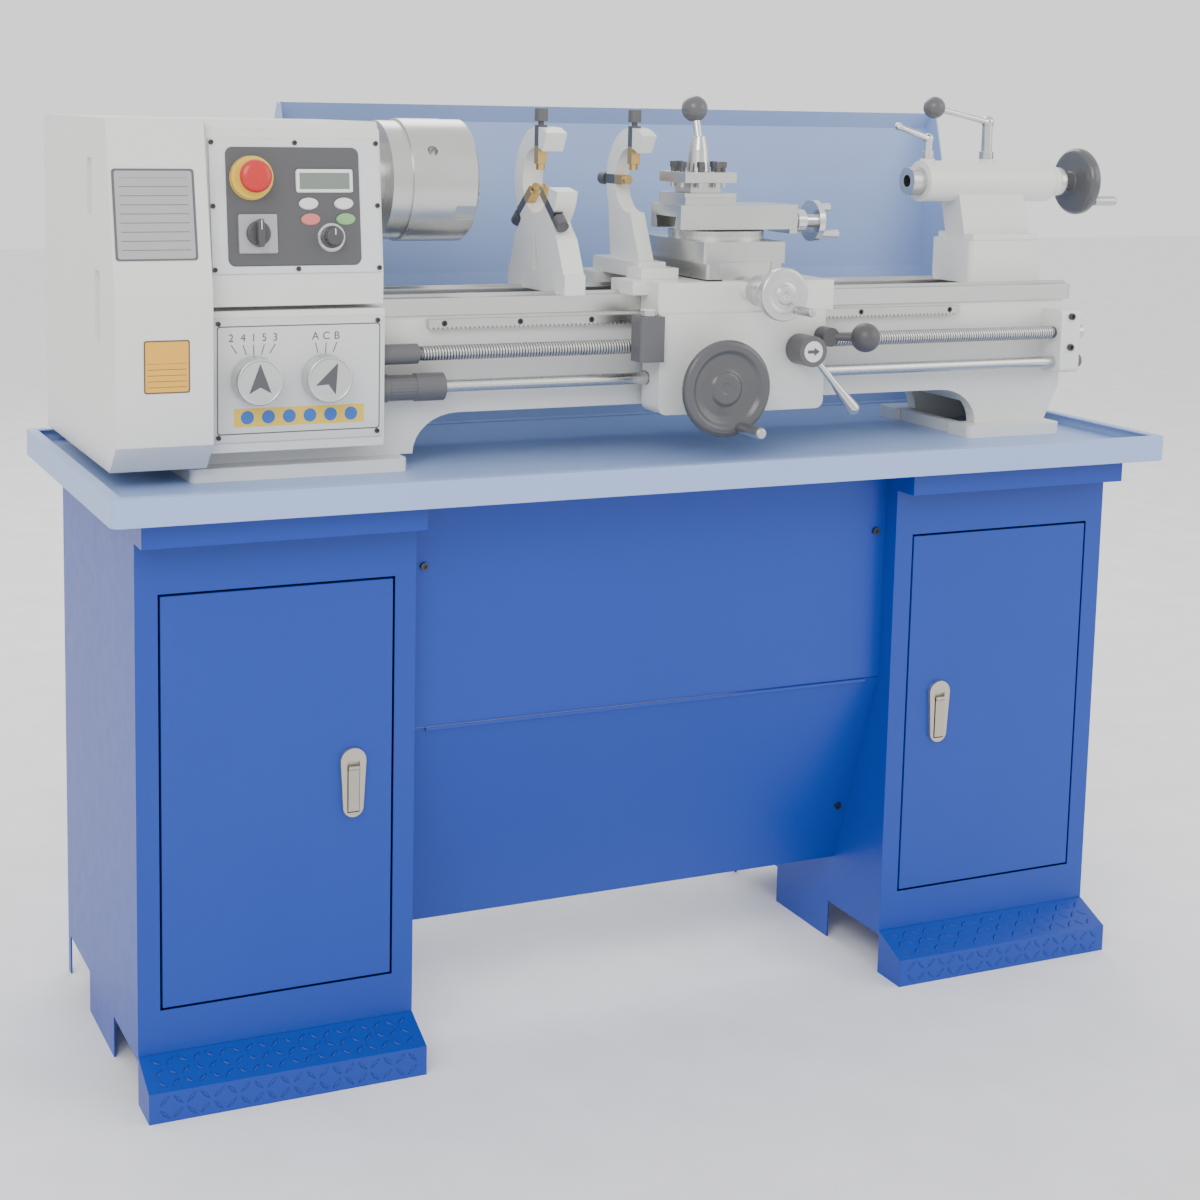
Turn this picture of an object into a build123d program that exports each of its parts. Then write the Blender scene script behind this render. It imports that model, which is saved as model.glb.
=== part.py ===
from build123d import *
import os
from math import atan2, cos, degrees, hypot, radians, sin

# A bench-type metal lathe on a two-cabinet sheet-metal stand, in millimetres.
# X runs along the bed to the tailstock, the operator stands at -Y, and Z is up.
# Sizes are given from the middle of the chip tray and from the floor. The finished
# pieces are then moved so that the origin is under the middle of the whole machine.

# ---------------------------------------------------------------- driving sizes
SHEET = 2.0                 # folded sheet of the stand, tray and guards
SLIDE_GAP = 0.3             # between pieces that move past each other
RUNNING_GAP = 0.05          # round a shaft in its bore, on the radius

# Overall
TRAY_LENGTH = 1500.0
TRAY_HALF = TRAY_LENGTH / 2

# Stand
CABINET_SPACING = TRAY_LENGTH - 447.0   # from the middle of one cabinet to the other
CABINET_WIDTH = 351.0
CABINET_DEPTH = 423.0
CABINET_TOP = 692.0
CABINET_BOTTOM = 61.0
STAND_SHIFT = -9.0          # the stand's middle, left of the tray's
DOOR_WIDTH = 290.0
DOOR_BOTTOM = 118.0
DOOR_TOP = 626.0
DOOR_GAP = 3.0
DOOR_FLANGE = 16.0
LATCH_HALF = 16.5
LATCH_LOW = 329.0
LATCH_HIGH = 417.0
LATCH_THICK = 5.0
LATCH_PIVOT_Z = 392.0
LATCH_INSET = 51.0          # the latch's middle, in from the door's free edge
LEVER_HALF = 7.0
KICK_REACH = 55.0           # the tread plate's front, ahead of the cabinet
KICK_HEIGHT = 37.5
NOTCH_HEIGHT = 55.0
RISER_DEPTH = 500.0
MODESTY_FRONT = -185.0
MODESTY_SEAM = 423.0
MODESTY_BOTTOM = 127.0
MODESTY_BACK = -87.0

# Tray and splash guard
TRAY_FRONT = -273.0
TRAY_BACK = 267.0
TRAY_FLOOR = 741.0
TRAY_TOP = 757.0
TRAY_SKIRT = 723.0
TRAY_LIP = 14.0
GUARD_LEFT = 350.0 - TRAY_HALF
GUARD_RIGHT = TRAY_HALF - 60.0
GUARD_TOP = 1204.0
GUARD_BEND = 960.0
GUARD_FOOT_Y = 245.0
GUARD_FOLD = 24.0
GUARD_TOP_LEAN = 14.0
GUARD_TOE = 18.0
WING_REACH = 70.0           # a wing's foot, ahead of the guard's
WING_SHOULDER_Z = 1040.0
WING_SHOULDER = 55.0

# Bed
BED_LEFT = -604.0
BED_RIGHT = TRAY_HALF - 48.0
BED_TOP = 958.6
WAY_HALF = 90.0
WAY_THICK = 22.0
WAY_OVERHANG = 16.0
BED_HALF = 86.0
BED_WALL = 20.0
BED_UNDERSIDE = 809.0
LEFT_FOOT_END = -320.0
RIGHT_FOOT_END = BED_RIGHT - 147.0
FOOT_SWEEP = 62.0
PAD_THICK = 17.0
PAD_HALF = 118.0
PAD_LEFT_START = -619.0
PAD_LEFT_END = -338.0
PAD_RIGHT_START = BED_RIGHT - 180.0
PAD_RIGHT_END = BED_RIGHT - 18.0
VEE_HEIGHT = 4.0
SADDLE_VEE_Y = -68.0
TAIL_VEE_Y = 44.0
RACK_LEFT = -303.0
RACK_RIGHT = BED_RIGHT - 190.0
RACK_TOP = 932.0
RACK_HEIGHT = 13.0
RACK_DEPTH = 11.0
RACK_PITCH = 6.283
ROD_Y = -113.0
LEADSCREW_Z = 891.0
LEADSCREW_R = 10.0
FEED_ROD_Z = 848.0
FEED_ROD_R = 8.0
JOURNAL_R = 7.0
BRACKET_LEFT = BED_RIGHT - 34.0
BRACKET_RIGHT = BED_RIGHT
BRACKET_FRONT = -130.0
BRACKET_BOTTOM = 833.0
BRACKET_TOP = 924.0

# Headstock, gearbox and gear cover
HEAD_LEFT = -604.0
HEAD_RIGHT = -380.0
HEAD_FRONT = -138.0
HEAD_BACK = 140.0
HEAD_TOP = 1182.0
LID_THICK = 10.0
LEAN_START = 997.0
LEAN_END = 1161.0
LEAN_BACK = 20.0
GEARBOX_LEFT = -602.0
GEARBOX_RIGHT = -377.0
GEARBOX_BOTTOM = 780.0
GEARBOX_TOP = 953.0
GEARBOX_FRONT = -136.0
COVER_LEFT = -722.0
COVER_FRONT = -170.0
COVER_BACK = 250.0
COVER_BOTTOM = 763.0
COVER_WALL = 3.0
DIAL_R = 29.5
DIAL_HEIGHT = 27.0
DIAL_Z = 869.0
FEED_DIAL_X = -545.0
RANGE_DIAL_X = -456.5
DIAL_STEM_R = 8.0

# Spindle, chuck and drive
SPINDLE_Z = 1106.0
SPINDLE_R = 30.0
SPINDLE_BORE_R = 19.0
BEARING_R = 48.0
BEARING_WIDTH = 22.0
CHUCK_R = 80.0
BACKPLATE_R = 77.0
CHUCK_BACK = -345.0
CHUCK_STEP = -318.0
CHUCK_FACE = -228.0
CHUCK_BORE_R = 22.0
JAW_WIDTH = 20.0
JAW_IN = 26.0
JAW_LENGTH = 48.0
JAW_REACH = 15.0
MOTOR_Y = 172.0
MOTOR_Z = 870.0
MOTOR_R = 62.0
MOTOR_LEFT = -586.0
MOTOR_RIGHT = -410.0
PULLEY_LEFT = -645.0
PULLEY_WIDTH = 26.0
SPINDLE_PULLEY_R = 62.0
MOTOR_PULLEY_R = 30.0
BELT_THICK = 6.0
BELT_WIDTH = 18.0

# Carriage
SADDLE_LEFT = -21.0
SADDLE_RIGHT = 271.0
SADDLE_TOP = 977.0
SADDLE_FRONT = -142.0
SADDLE_BACK = 122.0
SKIRT_BOTTOM = 936.0
APRON_LEFT = 2.0
APRON_FRONT = -150.0
APRON_BACK = -100.0
APRON_BOTTOM = 802.0
CROSS_X = 138.0
CROSS_WIDTH = 126.0
CROSS_LENGTH = 262.0
CROSS_BOTTOM = 979.0
CROSS_SEAT = 1002.0
CROSS_TOP = 1029.0
CROSS_TAIL = 41.0           # half width of the saddle's dovetail at its top
CROSS_SCREW_Z = 967.5
APRON_WHEEL_X = 75.0
APRON_WHEEL_Z = 842.0
APRON_WHEEL_R = 65.0
APRON_WHEEL_Y = -200.0
CROSS_WHEEL_R = 35.0
CROSS_WHEEL_Y = -232.0
HALF_NUT_X = 250.0
HALF_NUT_Z = 902.0
FEED_LEVER_X = 214.0
FEED_LEVER_Z = 885.0
THREAD_DIAL_X = -15.0
THREAD_DIAL_Y = -148.0
SWIVEL_Y = -45.0
SWIVEL_R = 66.0
SWIVEL_TOP = 1041.0
COMPOUND_SEAT = 1060.0
TOP_SLIDE_TOP = 1076.0
TOP_SLIDE_LEFT = 60.0
TOP_SLIDE_RIGHT = 238.0
TOP_SLIDE_HALF = 44.0
TOP_SCREW_Z = 1052.0
TOP_WHEEL_X = 292.0
TOP_WHEEL_R = 29.0
POST_X = 108.0
POST_SIDE = 80.0
POST_CORE = 46.0
POST_BOTTOM = 1086.0
POST_TOP = 1120.0
KNOB_BALL_R = 18.0

# Tailstock
TAIL_LEFT = BED_RIGHT - 142.0
TAIL_RIGHT = BED_RIGHT - 14.0
TAIL_HALF = 50.0
TAIL_BASE_TOP = 1021.0
BARREL_LEFT = TAIL_LEFT - 60.0
BARREL_RIGHT = TAIL_RIGHT + 36.0
BARREL_R = 30.0
QUILL_R = 20.0
QUILL_LEFT = BARREL_LEFT - 22.0
QUILL_RIGHT = TAIL_RIGHT
TAIL_WHEEL_X = BARREL_RIGHT + 60.0
TAIL_WHEEL_R = 50.0
TAIL_LEVER_X = TAIL_LEFT + 56.0
TAIL_LEVER_BALL_X = TAIL_LEVER_X - 104.0
QUILL_LOCK_X = BARREL_LEFT + 12.0
QUILL_LOCK_BALL_X = QUILL_LOCK_X - 57.0
TAIL_NECK_LEAN = 15.0
TAIL_NECK_HALF = 24.0
TAIL_LEDGE_HALF = 44.0
TAIL_LEDGE = 9.0

# Steady rest and follow rest
STEADY_X = -100.0
STEADY_THICK = 30.0
REST_INNER = 44.0
REST_OUTER = 72.0
REST_TIP = 14.0
FINGER_SIDE = 13.0
FINGER_LENGTH = 60.0
FINGER_KNOB_R = 9.0
FINGER_KNOB = 22.0
FOLLOW_X = 36.0
FOLLOW_THICK = 22.0

NODES = {}


# ---------------------------------------------------------------- shape helpers
def block(x, y, z):
    """A box between two corners, each span given as (low, high)."""
    size = (x[1] - x[0], y[1] - y[0], z[1] - z[0])
    middle = ((x[0] + x[1]) / 2, (y[0] + y[1]) / 2, (z[0] + z[1]) / 2)
    return Pos(*middle) * Box(*size)


def along_x(points, x):
    """A prism whose outline is given in (y, z), between two values of x."""
    face = Plane.YZ.offset(x[0]) * Polygon(*points, align=None)
    return extrude(face, amount=x[1] - x[0], dir=(1, 0, 0))


def along_y(points, y):
    """A prism whose outline is given in (x, z), between two values of y."""
    face = Plane.XZ.offset(-y[1]) * Polygon(*points, align=None)
    return extrude(face, amount=y[1] - y[0], dir=(0, -1, 0))


def bar(start, end, radius, end_radius=None):
    """A round bar, or a taper where the far end has its own radius."""
    line = Vector(*end) - Vector(*start)
    frame = Plane(origin=start, z_dir=line)
    place = (Align.CENTER, Align.CENTER, Align.MIN)
    if end_radius is None:
        return frame * Cylinder(radius, line.length, align=place)
    return frame * Cone(radius, end_radius, line.length, align=place)


def ball(centre, radius):
    """A ball with its poles turned away from the bars that it joins."""
    return Pos(*centre) * Rot(35, 25, 0) * Sphere(radius)


def tube(start, end, outer, inner):
    return bar(start, end, outer) - bar(start, end, inner)


def fuse(pieces):
    """One solid out of several that overlap or touch over a face."""
    whole = pieces[0]
    for piece in pieces[1:]:
        whole = whole + piece
    return whole


def keep(name, *solids):
    """Store a node's separate solids under its name."""
    NODES[name] = [solid for shape in solids for solid in shape.solids()]


def polar(radius, angle):
    """The (y, z) offset at an angle from the rear, turning up and over."""
    return radius * cos(radians(angle)), radius * sin(radians(angle))


def vee(y, grow=0.0):
    """The raised vee way, or with a margin the groove that rides over it."""
    half = VEE_HEIGHT + grow
    points = [(y - half, BED_TOP), (y, BED_TOP + half), (y + half, BED_TOP)]
    return along_x(points, (BED_LEFT, BED_RIGHT + WAY_OVERHANG))


def ride_on_ways(shape):
    """Cut the vee grooves into the underside of a piece that sits on the bed."""
    return shape - vee(SADDLE_VEE_Y, SLIDE_GAP) - vee(TAIL_VEE_Y, SLIDE_GAP)


# ---------------------------------------------------------------- cabinet stand
def cabinet(middle):
    """A folded sheet box on a closed tread plate, with a riser on its top."""
    left, right = middle - CABINET_WIDTH / 2, middle + CABINET_WIDTH / 2
    front, back = -CABINET_DEPTH / 2, CABINET_DEPTH / 2
    shell = block((left, right), (front, back), (0, CABINET_TOP))
    inside = block((left + SHEET, right - SHEET), (front + SHEET, back - SHEET),
                   (CABINET_BOTTOM + SHEET, CABINET_TOP - SHEET))
    under = block((left + SHEET, right - SHEET), (front - 1, back + 1),
                  (-1, CABINET_BOTTOM))
    door_half = DOOR_WIDTH / 2 + DOOR_GAP
    doorway = block((middle - door_half, middle + door_half), (front - 1, front + SHEET + 1),
                    (DOOR_BOTTOM - DOOR_GAP, DOOR_TOP + DOOR_GAP))
    shell = shell - inside - under - doorway
    for low, high in ((front - 1, front + 135), (back - 142, back - 15)):
        shell = shell - block((left - 1, right + 1), (low, high), (-1, NOTCH_HEIGHT))
    tip = front - KICK_REACH
    outline = [(front, 0), (tip, 0), (tip, KICK_HEIGHT), (front, CABINET_BOTTOM)]
    hollow = [(front + 1, -1), (tip + SHEET, -1), (tip + SHEET, KICK_HEIGHT - SHEET),
              (front + 1, CABINET_BOTTOM - SHEET)]
    tread = along_x(outline, (left, right))
    tread = tread - along_x(hollow, (left + SHEET, right - SHEET))
    deck = block((left, right), (-RISER_DEPTH / 2, RISER_DEPTH / 2),
                 (CABINET_TOP, TRAY_FLOOR - SHEET))
    deck = deck - block((left + SHEET, right - SHEET),
                        (-RISER_DEPTH / 2 + SHEET, RISER_DEPTH / 2 - SHEET),
                        (CABINET_TOP - 1, TRAY_FLOOR - 2 * SHEET))
    return shell, tread, deck


def door(middle, latch_x):
    """A dished sheet door with its latch plate, flush with the cabinet's front."""
    front = -CABINET_DEPTH / 2
    left, right = middle - DOOR_WIDTH / 2, middle + DOOR_WIDTH / 2
    panel = block((left, right), (front, front + DOOR_FLANGE), (DOOR_BOTTOM, DOOR_TOP))
    panel = panel - block((left + SHEET, right - SHEET),
                          (front + SHEET, front + DOOR_FLANGE + 1),
                          (DOOR_BOTTOM + SHEET, DOOR_TOP - SHEET))
    plate = latch_outline(latch_x, LATCH_HALF, front - LATCH_THICK, front)
    slot = block((latch_x - LEVER_HALF - 1, latch_x + LEVER_HALF + 1),
                 (front - LATCH_THICK - 1, front - 1.0), (LATCH_LOW + 6, LATCH_PIVOT_Z + 8))
    return panel, plate - slot


def latch_outline(x, half, y_front, y_back):
    """A plate that tapers from a round top to a narrower round foot."""
    narrow = 0.8 * half
    high, low = LATCH_HIGH - half, LATCH_LOW + narrow
    web = along_y([(x - half, high), (x + half, high), (x + narrow, low), (x - narrow, low)],
                  (y_front, y_back))
    top = bar((x, y_back, high), (x, y_front, high), half)
    return fuse([web, top, bar((x, y_back, low), (x, y_front, low), narrow)])


def latch_handle(x):
    """The narrow lever that lies in the latch plate and lifts from its foot."""
    front = -CABINET_DEPTH / 2 - LATCH_THICK
    lever = block((x - LEVER_HALF, x + LEVER_HALF), (front - 1.5, front + 1.0),
                  (LATCH_LOW + 8, LATCH_PIVOT_Z))
    pivot = bar((x - LEVER_HALF, front, LATCH_PIVOT_Z), (x + LEVER_HALF, front, LATCH_PIVOT_Z), 3.0)
    return fuse([lever, pivot])


LEFT_MIDDLE = STAND_SHIFT - CABINET_SPACING / 2
RIGHT_MIDDLE = STAND_SHIFT + CABINET_SPACING / 2
LEFT_LATCH_X = LEFT_MIDDLE + DOOR_WIDTH / 2 - LATCH_INSET
RIGHT_LATCH_X = RIGHT_MIDDLE - DOOR_WIDTH / 2 + LATCH_INSET
keep("left_cabinet", *cabinet(LEFT_MIDDLE))
keep("right_cabinet", *cabinet(RIGHT_MIDDLE))
keep("left_door", *door(LEFT_MIDDLE, LEFT_LATCH_X))
keep("right_door", *door(RIGHT_MIDDLE, RIGHT_LATCH_X))
keep("left_latch_handle", latch_handle(LEFT_LATCH_X))
keep("right_latch_handle", latch_handle(RIGHT_LATCH_X))

# The front between the cabinets: an upright panel over a sloping one
PANEL_LEFT = LEFT_MIDDLE + CABINET_WIDTH / 2
PANEL_RIGHT = RIGHT_MIDDLE - CABINET_WIDTH / 2
PANEL_RETURN = 22.0
upper = block((PANEL_LEFT, PANEL_RIGHT), (MODESTY_FRONT, MODESTY_FRONT + PANEL_RETURN),
              (MODESTY_SEAM + 1, TRAY_FLOOR - SHEET))
upper = upper - block((PANEL_LEFT + SHEET, PANEL_RIGHT - SHEET),
                      (MODESTY_FRONT + SHEET, MODESTY_FRONT + PANEL_RETURN + 1),
                      (MODESTY_SEAM, TRAY_FLOOR - 2 * SHEET))
keep("upper_panel", upper)
slope = [(MODESTY_FRONT, MODESTY_SEAM), (MODESTY_FRONT + PANEL_RETURN, MODESTY_SEAM),
         (MODESTY_BACK + PANEL_RETURN, MODESTY_BOTTOM), (MODESTY_BACK, MODESTY_BOTTOM)]
slope_inside = [(MODESTY_FRONT + SHEET, MODESTY_SEAM - SHEET),
                (MODESTY_FRONT + PANEL_RETURN + 2, MODESTY_SEAM - SHEET),
                (MODESTY_BACK + PANEL_RETURN + 2, MODESTY_BOTTOM - 1),
                (MODESTY_BACK + SHEET, MODESTY_BOTTOM - 1)]
lower = along_x(slope, (PANEL_LEFT, PANEL_RIGHT))
lower = lower - along_x(slope_inside, (PANEL_LEFT + SHEET, PANEL_RIGHT - SHEET))
lip = block((PANEL_LEFT + 24, PANEL_RIGHT - 24), (MODESTY_FRONT - 2.5, MODESTY_FRONT + 1),
            (MODESTY_SEAM - 4, MODESTY_SEAM))
keep("lower_panel", lower + lip)

# ---------------------------------------------------------------- tray and guard
tray = block((-TRAY_HALF, TRAY_HALF), (TRAY_FRONT, TRAY_BACK), (TRAY_SKIRT, TRAY_TOP))
tray = fillet(tray.edges().filter_by(Axis.Z), 12)
wall = block((-TRAY_HALF + SHEET, TRAY_HALF - SHEET), (TRAY_FRONT + SHEET, TRAY_BACK - SHEET),
             (TRAY_FLOOR, TRAY_TOP - SHEET))
mouth = block((-TRAY_HALF + TRAY_LIP, TRAY_HALF - TRAY_LIP),
              (TRAY_FRONT + TRAY_LIP, TRAY_BACK - TRAY_LIP), (TRAY_FLOOR, TRAY_TOP + 1))
underside = block((-TRAY_HALF + SHEET, TRAY_HALF - SHEET),
                  (TRAY_FRONT + SHEET, TRAY_BACK - SHEET), (TRAY_SKIRT - 1, TRAY_FLOOR - SHEET))
keep("chip_tray", tray - fillet(wall.edges().filter_by(Axis.Z), 10) - mouth
     - fillet(underside.edges().filter_by(Axis.Z), 10))

guard_front = [(GUARD_FOOT_Y - GUARD_TOE, TRAY_FLOOR), (GUARD_FOOT_Y - GUARD_TOE, TRAY_FLOOR + SHEET),
               (GUARD_FOOT_Y - SHEET, TRAY_FLOOR + SHEET), (TRAY_BACK - SHEET, GUARD_BEND),
               (TRAY_BACK - SHEET, GUARD_TOP - GUARD_FOLD),
               (TRAY_BACK - SHEET - GUARD_TOP_LEAN, GUARD_TOP)]
guard_back = [(TRAY_BACK - GUARD_TOP_LEAN, GUARD_TOP), (TRAY_BACK, GUARD_TOP - GUARD_FOLD),
              (TRAY_BACK, GUARD_BEND), (GUARD_FOOT_Y, TRAY_FLOOR)]
guard = along_x(guard_front + guard_back, (GUARD_LEFT, GUARD_RIGHT))
wing_edge = [(GUARD_FOOT_Y - 1, TRAY_FLOOR), (TRAY_BACK - 1, GUARD_BEND),
             (TRAY_BACK - 1, GUARD_TOP - GUARD_FOLD), (TRAY_BACK - 1 - GUARD_TOP_LEAN, GUARD_TOP)]
wing_tip = (GUARD_FOOT_Y - 7, GUARD_TOP - 3)
right_wing = [(GUARD_FOOT_Y - 80 - WING_REACH, TRAY_FLOOR), *wing_edge, wing_tip,
              (GUARD_FOOT_Y - WING_SHOULDER - 10, WING_SHOULDER_Z - 33)]
left_wing = [(GUARD_FOOT_Y - WING_REACH, TRAY_FLOOR), *wing_edge, wing_tip,
             (GUARD_FOOT_Y - WING_SHOULDER, WING_SHOULDER_Z)]
guard = guard + along_x(right_wing, (GUARD_RIGHT - SHEET, GUARD_RIGHT))
guard = guard + along_x(left_wing, (GUARD_LEFT, GUARD_LEFT + SHEET))
keep("splash_guard", guard)

# ---------------------------------------------------------------- bed
WAY_BOTTOM = BED_TOP - WAY_THICK
FOOT_TOP = TRAY_FLOOR + PAD_THICK


def arch_corner(foot_x, direction):
    """The concave sweep from the top of a foot pad up to the bed's underside."""
    rise = BED_UNDERSIDE - FOOT_TOP
    steps = 8
    points = []
    for step in range(steps + 1):
        turn = radians(90 * step / steps)
        points.append((foot_x + direction * FOOT_SWEEP * (1 - cos(turn)), FOOT_TOP + rise * sin(turn)))
    return points


side = [(BED_LEFT, FOOT_TOP)] + arch_corner(LEFT_FOOT_END, 1)
side = side + arch_corner(RIGHT_FOOT_END, -1)[::-1]
side = side + [(BED_RIGHT - 24, FOOT_TOP), (BED_RIGHT, BED_UNDERSIDE), (BED_RIGHT, WAY_BOTTOM),
               (BED_LEFT, WAY_BOTTOM)]
bed = along_y(side, (-BED_HALF, BED_HALF))
ways = block((BED_LEFT, BED_RIGHT + WAY_OVERHANG), (-WAY_HALF, WAY_HALF), (WAY_BOTTOM, BED_TOP))
ways = fillet(ways.edges().filter_by(Axis.Z).group_by(Axis.X)[-1], 14)
bed = bed + ways + vee(SADDLE_VEE_Y) + vee(TAIL_VEE_Y)
for low, high in ((PAD_LEFT_START, PAD_LEFT_END), (PAD_RIGHT_START, PAD_RIGHT_END)):
    pad = block((low, high), (-PAD_HALF, PAD_HALF), (TRAY_FLOOR, FOOT_TOP))
    bed = bed + fillet(pad.edges().filter_by(Axis.Z), 8)
BAY_START = -345.0
BAY_COUNT = 7
bay = (BED_RIGHT - 20 - BAY_START) / BAY_COUNT
bay_ends = [BED_LEFT + 20, BED_LEFT + 104] + [BAY_START + bay * step for step in range(BAY_COUNT + 1)]
RIB = 14.0
RAIL_HALF = 26.0
for low, high in zip(bay_ends, bay_ends[1:]):
    inner = BED_HALF - BED_WALL
    bed = bed - block((low + RIB / 2, high - RIB / 2), (-inner, inner), (TRAY_FLOOR - 1, WAY_BOTTOM))
SLOT_DEPTH = 14.0           # how far the ribs stop below the ways
SHOE_HALF = 48.0
slot_x = (HEAD_RIGHT + 12, BED_RIGHT - 14)
bed = bed - block(slot_x, (-RAIL_HALF, RAIL_HALF), (WAY_BOTTOM - 1, BED_TOP + 1))
bed = bed - block(slot_x, (-SHOE_HALF - 4, SHOE_HALF + 4), (WAY_BOTTOM - SLOT_DEPTH, WAY_BOTTOM))
keep("bed", bed)

# The rack hangs under the front way with its teeth down
rack_front = -BED_HALF - RACK_DEPTH
rack_low = RACK_TOP - RACK_HEIGHT
teeth = [(RACK_LEFT, RACK_TOP), (RACK_LEFT, rack_low + 3)]
for tooth in range(int((RACK_RIGHT - RACK_LEFT) / RACK_PITCH)):
    start = RACK_LEFT + RACK_PITCH * (tooth + 0.1)
    teeth += [(start, rack_low + 3), (start + 0.26 * RACK_PITCH, rack_low),
              (start + 0.54 * RACK_PITCH, rack_low), (start + 0.8 * RACK_PITCH, rack_low + 3)]
teeth += [(RACK_RIGHT, rack_low + 3), (RACK_RIGHT, RACK_TOP)]
rack = along_y(teeth, (rack_front, -BED_HALF))
RACK_SCREW_SHARES = (0.026, 0.156, 0.282, 0.482, 0.666, 0.796, 0.979)
RACK_SCREW_X = [RACK_LEFT + share * (RACK_RIGHT - RACK_LEFT) for share in RACK_SCREW_SHARES]
RACK_SCREW_R = 4.0
RACK_SCREW_Z = RACK_TOP - 5.5
for x in RACK_SCREW_X:
    rack = rack - bar((x, rack_front - 1, RACK_SCREW_Z), (x, rack_front + 5, RACK_SCREW_Z), RACK_SCREW_R)
keep("rack", rack)


# ---------------------------------------------------------------- headstock
def lean_y(z):
    """The front of the headstock at a height, where its upper part leans back."""
    share = min(max((z - LEAN_START) / (LEAN_END - LEAN_START), 0), 1)
    return HEAD_FRONT + LEAN_BACK * share


LEAN_ANGLE = degrees(atan2(LEAN_BACK, LEAN_END - LEAN_START))
PANEL_OUT = (0, -cos(radians(LEAN_ANGLE)), sin(radians(LEAN_ANGLE)))


def panel_frame(x, z):
    """A frame on the leaning front, its own Z pointing out at the operator."""
    return Plane(origin=(x, lean_y(z), z), x_dir=(1, 0, 0), z_dir=PANEL_OUT)


lid_z = HEAD_TOP - LID_THICK
lean_top = HEAD_FRONT + LEAN_BACK * (lid_z - LEAN_START) / (LEAN_END - LEAN_START)
head_outline = [(HEAD_FRONT, BED_TOP), (HEAD_FRONT, LEAN_START), (lean_top, lid_z),
                (HEAD_BACK - 8, lid_z), (HEAD_BACK, lid_z - 12), (HEAD_BACK, BED_TOP)]
head = along_x(head_outline, (HEAD_LEFT, HEAD_RIGHT))
lid_outline = [(lean_top + 1, lid_z), (lean_top + 8, HEAD_TOP), (HEAD_BACK - 18, HEAD_TOP),
               (HEAD_BACK - 9, lid_z)]
lid = along_x(lid_outline, (HEAD_LEFT, HEAD_RIGHT - 1))
head = head - bar((HEAD_LEFT - 1, 0, SPINDLE_Z), (HEAD_RIGHT + 1, 0, SPINDLE_Z), SPINDLE_R + 3)
bearings = []
for low in (HEAD_LEFT, HEAD_RIGHT - BEARING_WIDTH):
    high = low + BEARING_WIDTH
    head = head - bar((low - 0.01, 0, SPINDLE_Z), (high + 0.01, 0, SPINDLE_Z), BEARING_R + RUNNING_GAP / 2)
    bearings.append(tube((low, 0, SPINDLE_Z), (high, 0, SPINDLE_Z), BEARING_R, SPINDLE_R + RUNNING_GAP))
STEM_DEPTH = 22.0
KNOB_STEM_R = 3.0
ESTOP = (-546.0, 1113.0)
SELECTOR = (-540.0, 1046.0)
SPEED = (-447.0, 1041.0)
for x, z, radius in ((*ESTOP, DIAL_STEM_R), (*SELECTOR, KNOB_STEM_R), (*SPEED, KNOB_STEM_R)):
    hole = Cylinder(radius + RUNNING_GAP, STEM_DEPTH + 6, align=(Align.CENTER, Align.CENTER, Align.MAX))
    head = head - panel_frame(x, z) * Pos(0, 0, 1) * hole
keep("headstock", ride_on_ways(head), lid, *bearings)

# The panel carries the raised membrane, the collar, the switch plate and the keys
PANEL_THICK = 2.0
MEMBRANE_THICK = 1.2
panel_middle = (HEAD_LEFT + HEAD_RIGHT) / 2 + 2
panel_z = (LEAN_START + LEAN_END) / 2
panel_height = hypot(LEAN_END - LEAN_START, LEAN_BACK)
base_frame = panel_frame(panel_middle, panel_z)
UP = (Align.CENTER, Align.CENTER, Align.MIN)
panel = base_frame * Box(HEAD_RIGHT - HEAD_LEFT - 10, panel_height - 2, PANEL_THICK, align=UP)
MEMBRANE_SIZE = (168.0, 143.0)
MEMBRANE_ROUND = 9.0
membrane = extrude(base_frame.offset(PANEL_THICK) * Pos(-3, -0.5)
                   * RectangleRounded(*MEMBRANE_SIZE, MEMBRANE_ROUND), amount=MEMBRANE_THICK)
face = PANEL_THICK + MEMBRANE_THICK
collar = panel_frame(*ESTOP).offset(face) * Cylinder(26, 7, align=UP)
plate = panel_frame(*SELECTOR).offset(face) * Box(48, 47, 2.5, align=UP)
bezel = panel_frame(*SPEED).offset(face) * Cylinder(17, 2, align=UP)
SCREEN = (-454.0, 1109.5)
KEYS = ((-475.0, 1082.0), (-430.0, 1082.0), (-473.0, 1063.0), (-428.0, 1063.0))
screen = panel_frame(*SCREEN).offset(face) * Box(72, 28, 2, align=UP)
keys = []
for x, z in KEYS:
    key = extrude(panel_frame(x, z).offset(face) * Ellipse(12, 7), amount=1.5)
    keys.append(key)
holes = []
for x, z, radius in ((*ESTOP, DIAL_STEM_R), (*SELECTOR, KNOB_STEM_R), (*SPEED, KNOB_STEM_R)):
    holes.append(panel_frame(x, z).offset(-1) * Cylinder(radius + RUNNING_GAP, 20, align=UP))


def bored(shape):
    for hole in holes:
        shape = shape - hole
    return shape


keep("control_panel", bored(panel), bored(membrane), bored(collar), bored(plate), bored(bezel),
     screen, *keys)


def knob(place, stem_r, start, profile):
    """A stem in its hole under a knob turned from (radius, height) steps."""
    frame = panel_frame(*place)
    whole = frame.offset(-STEM_DEPTH) * Cylinder(stem_r, STEM_DEPTH + start + 1, align=UP)
    low = start
    for radius, height in profile:
        whole = whole + frame.offset(low) * Cylinder(radius, height, align=UP)
        low += height
    return whole


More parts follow.
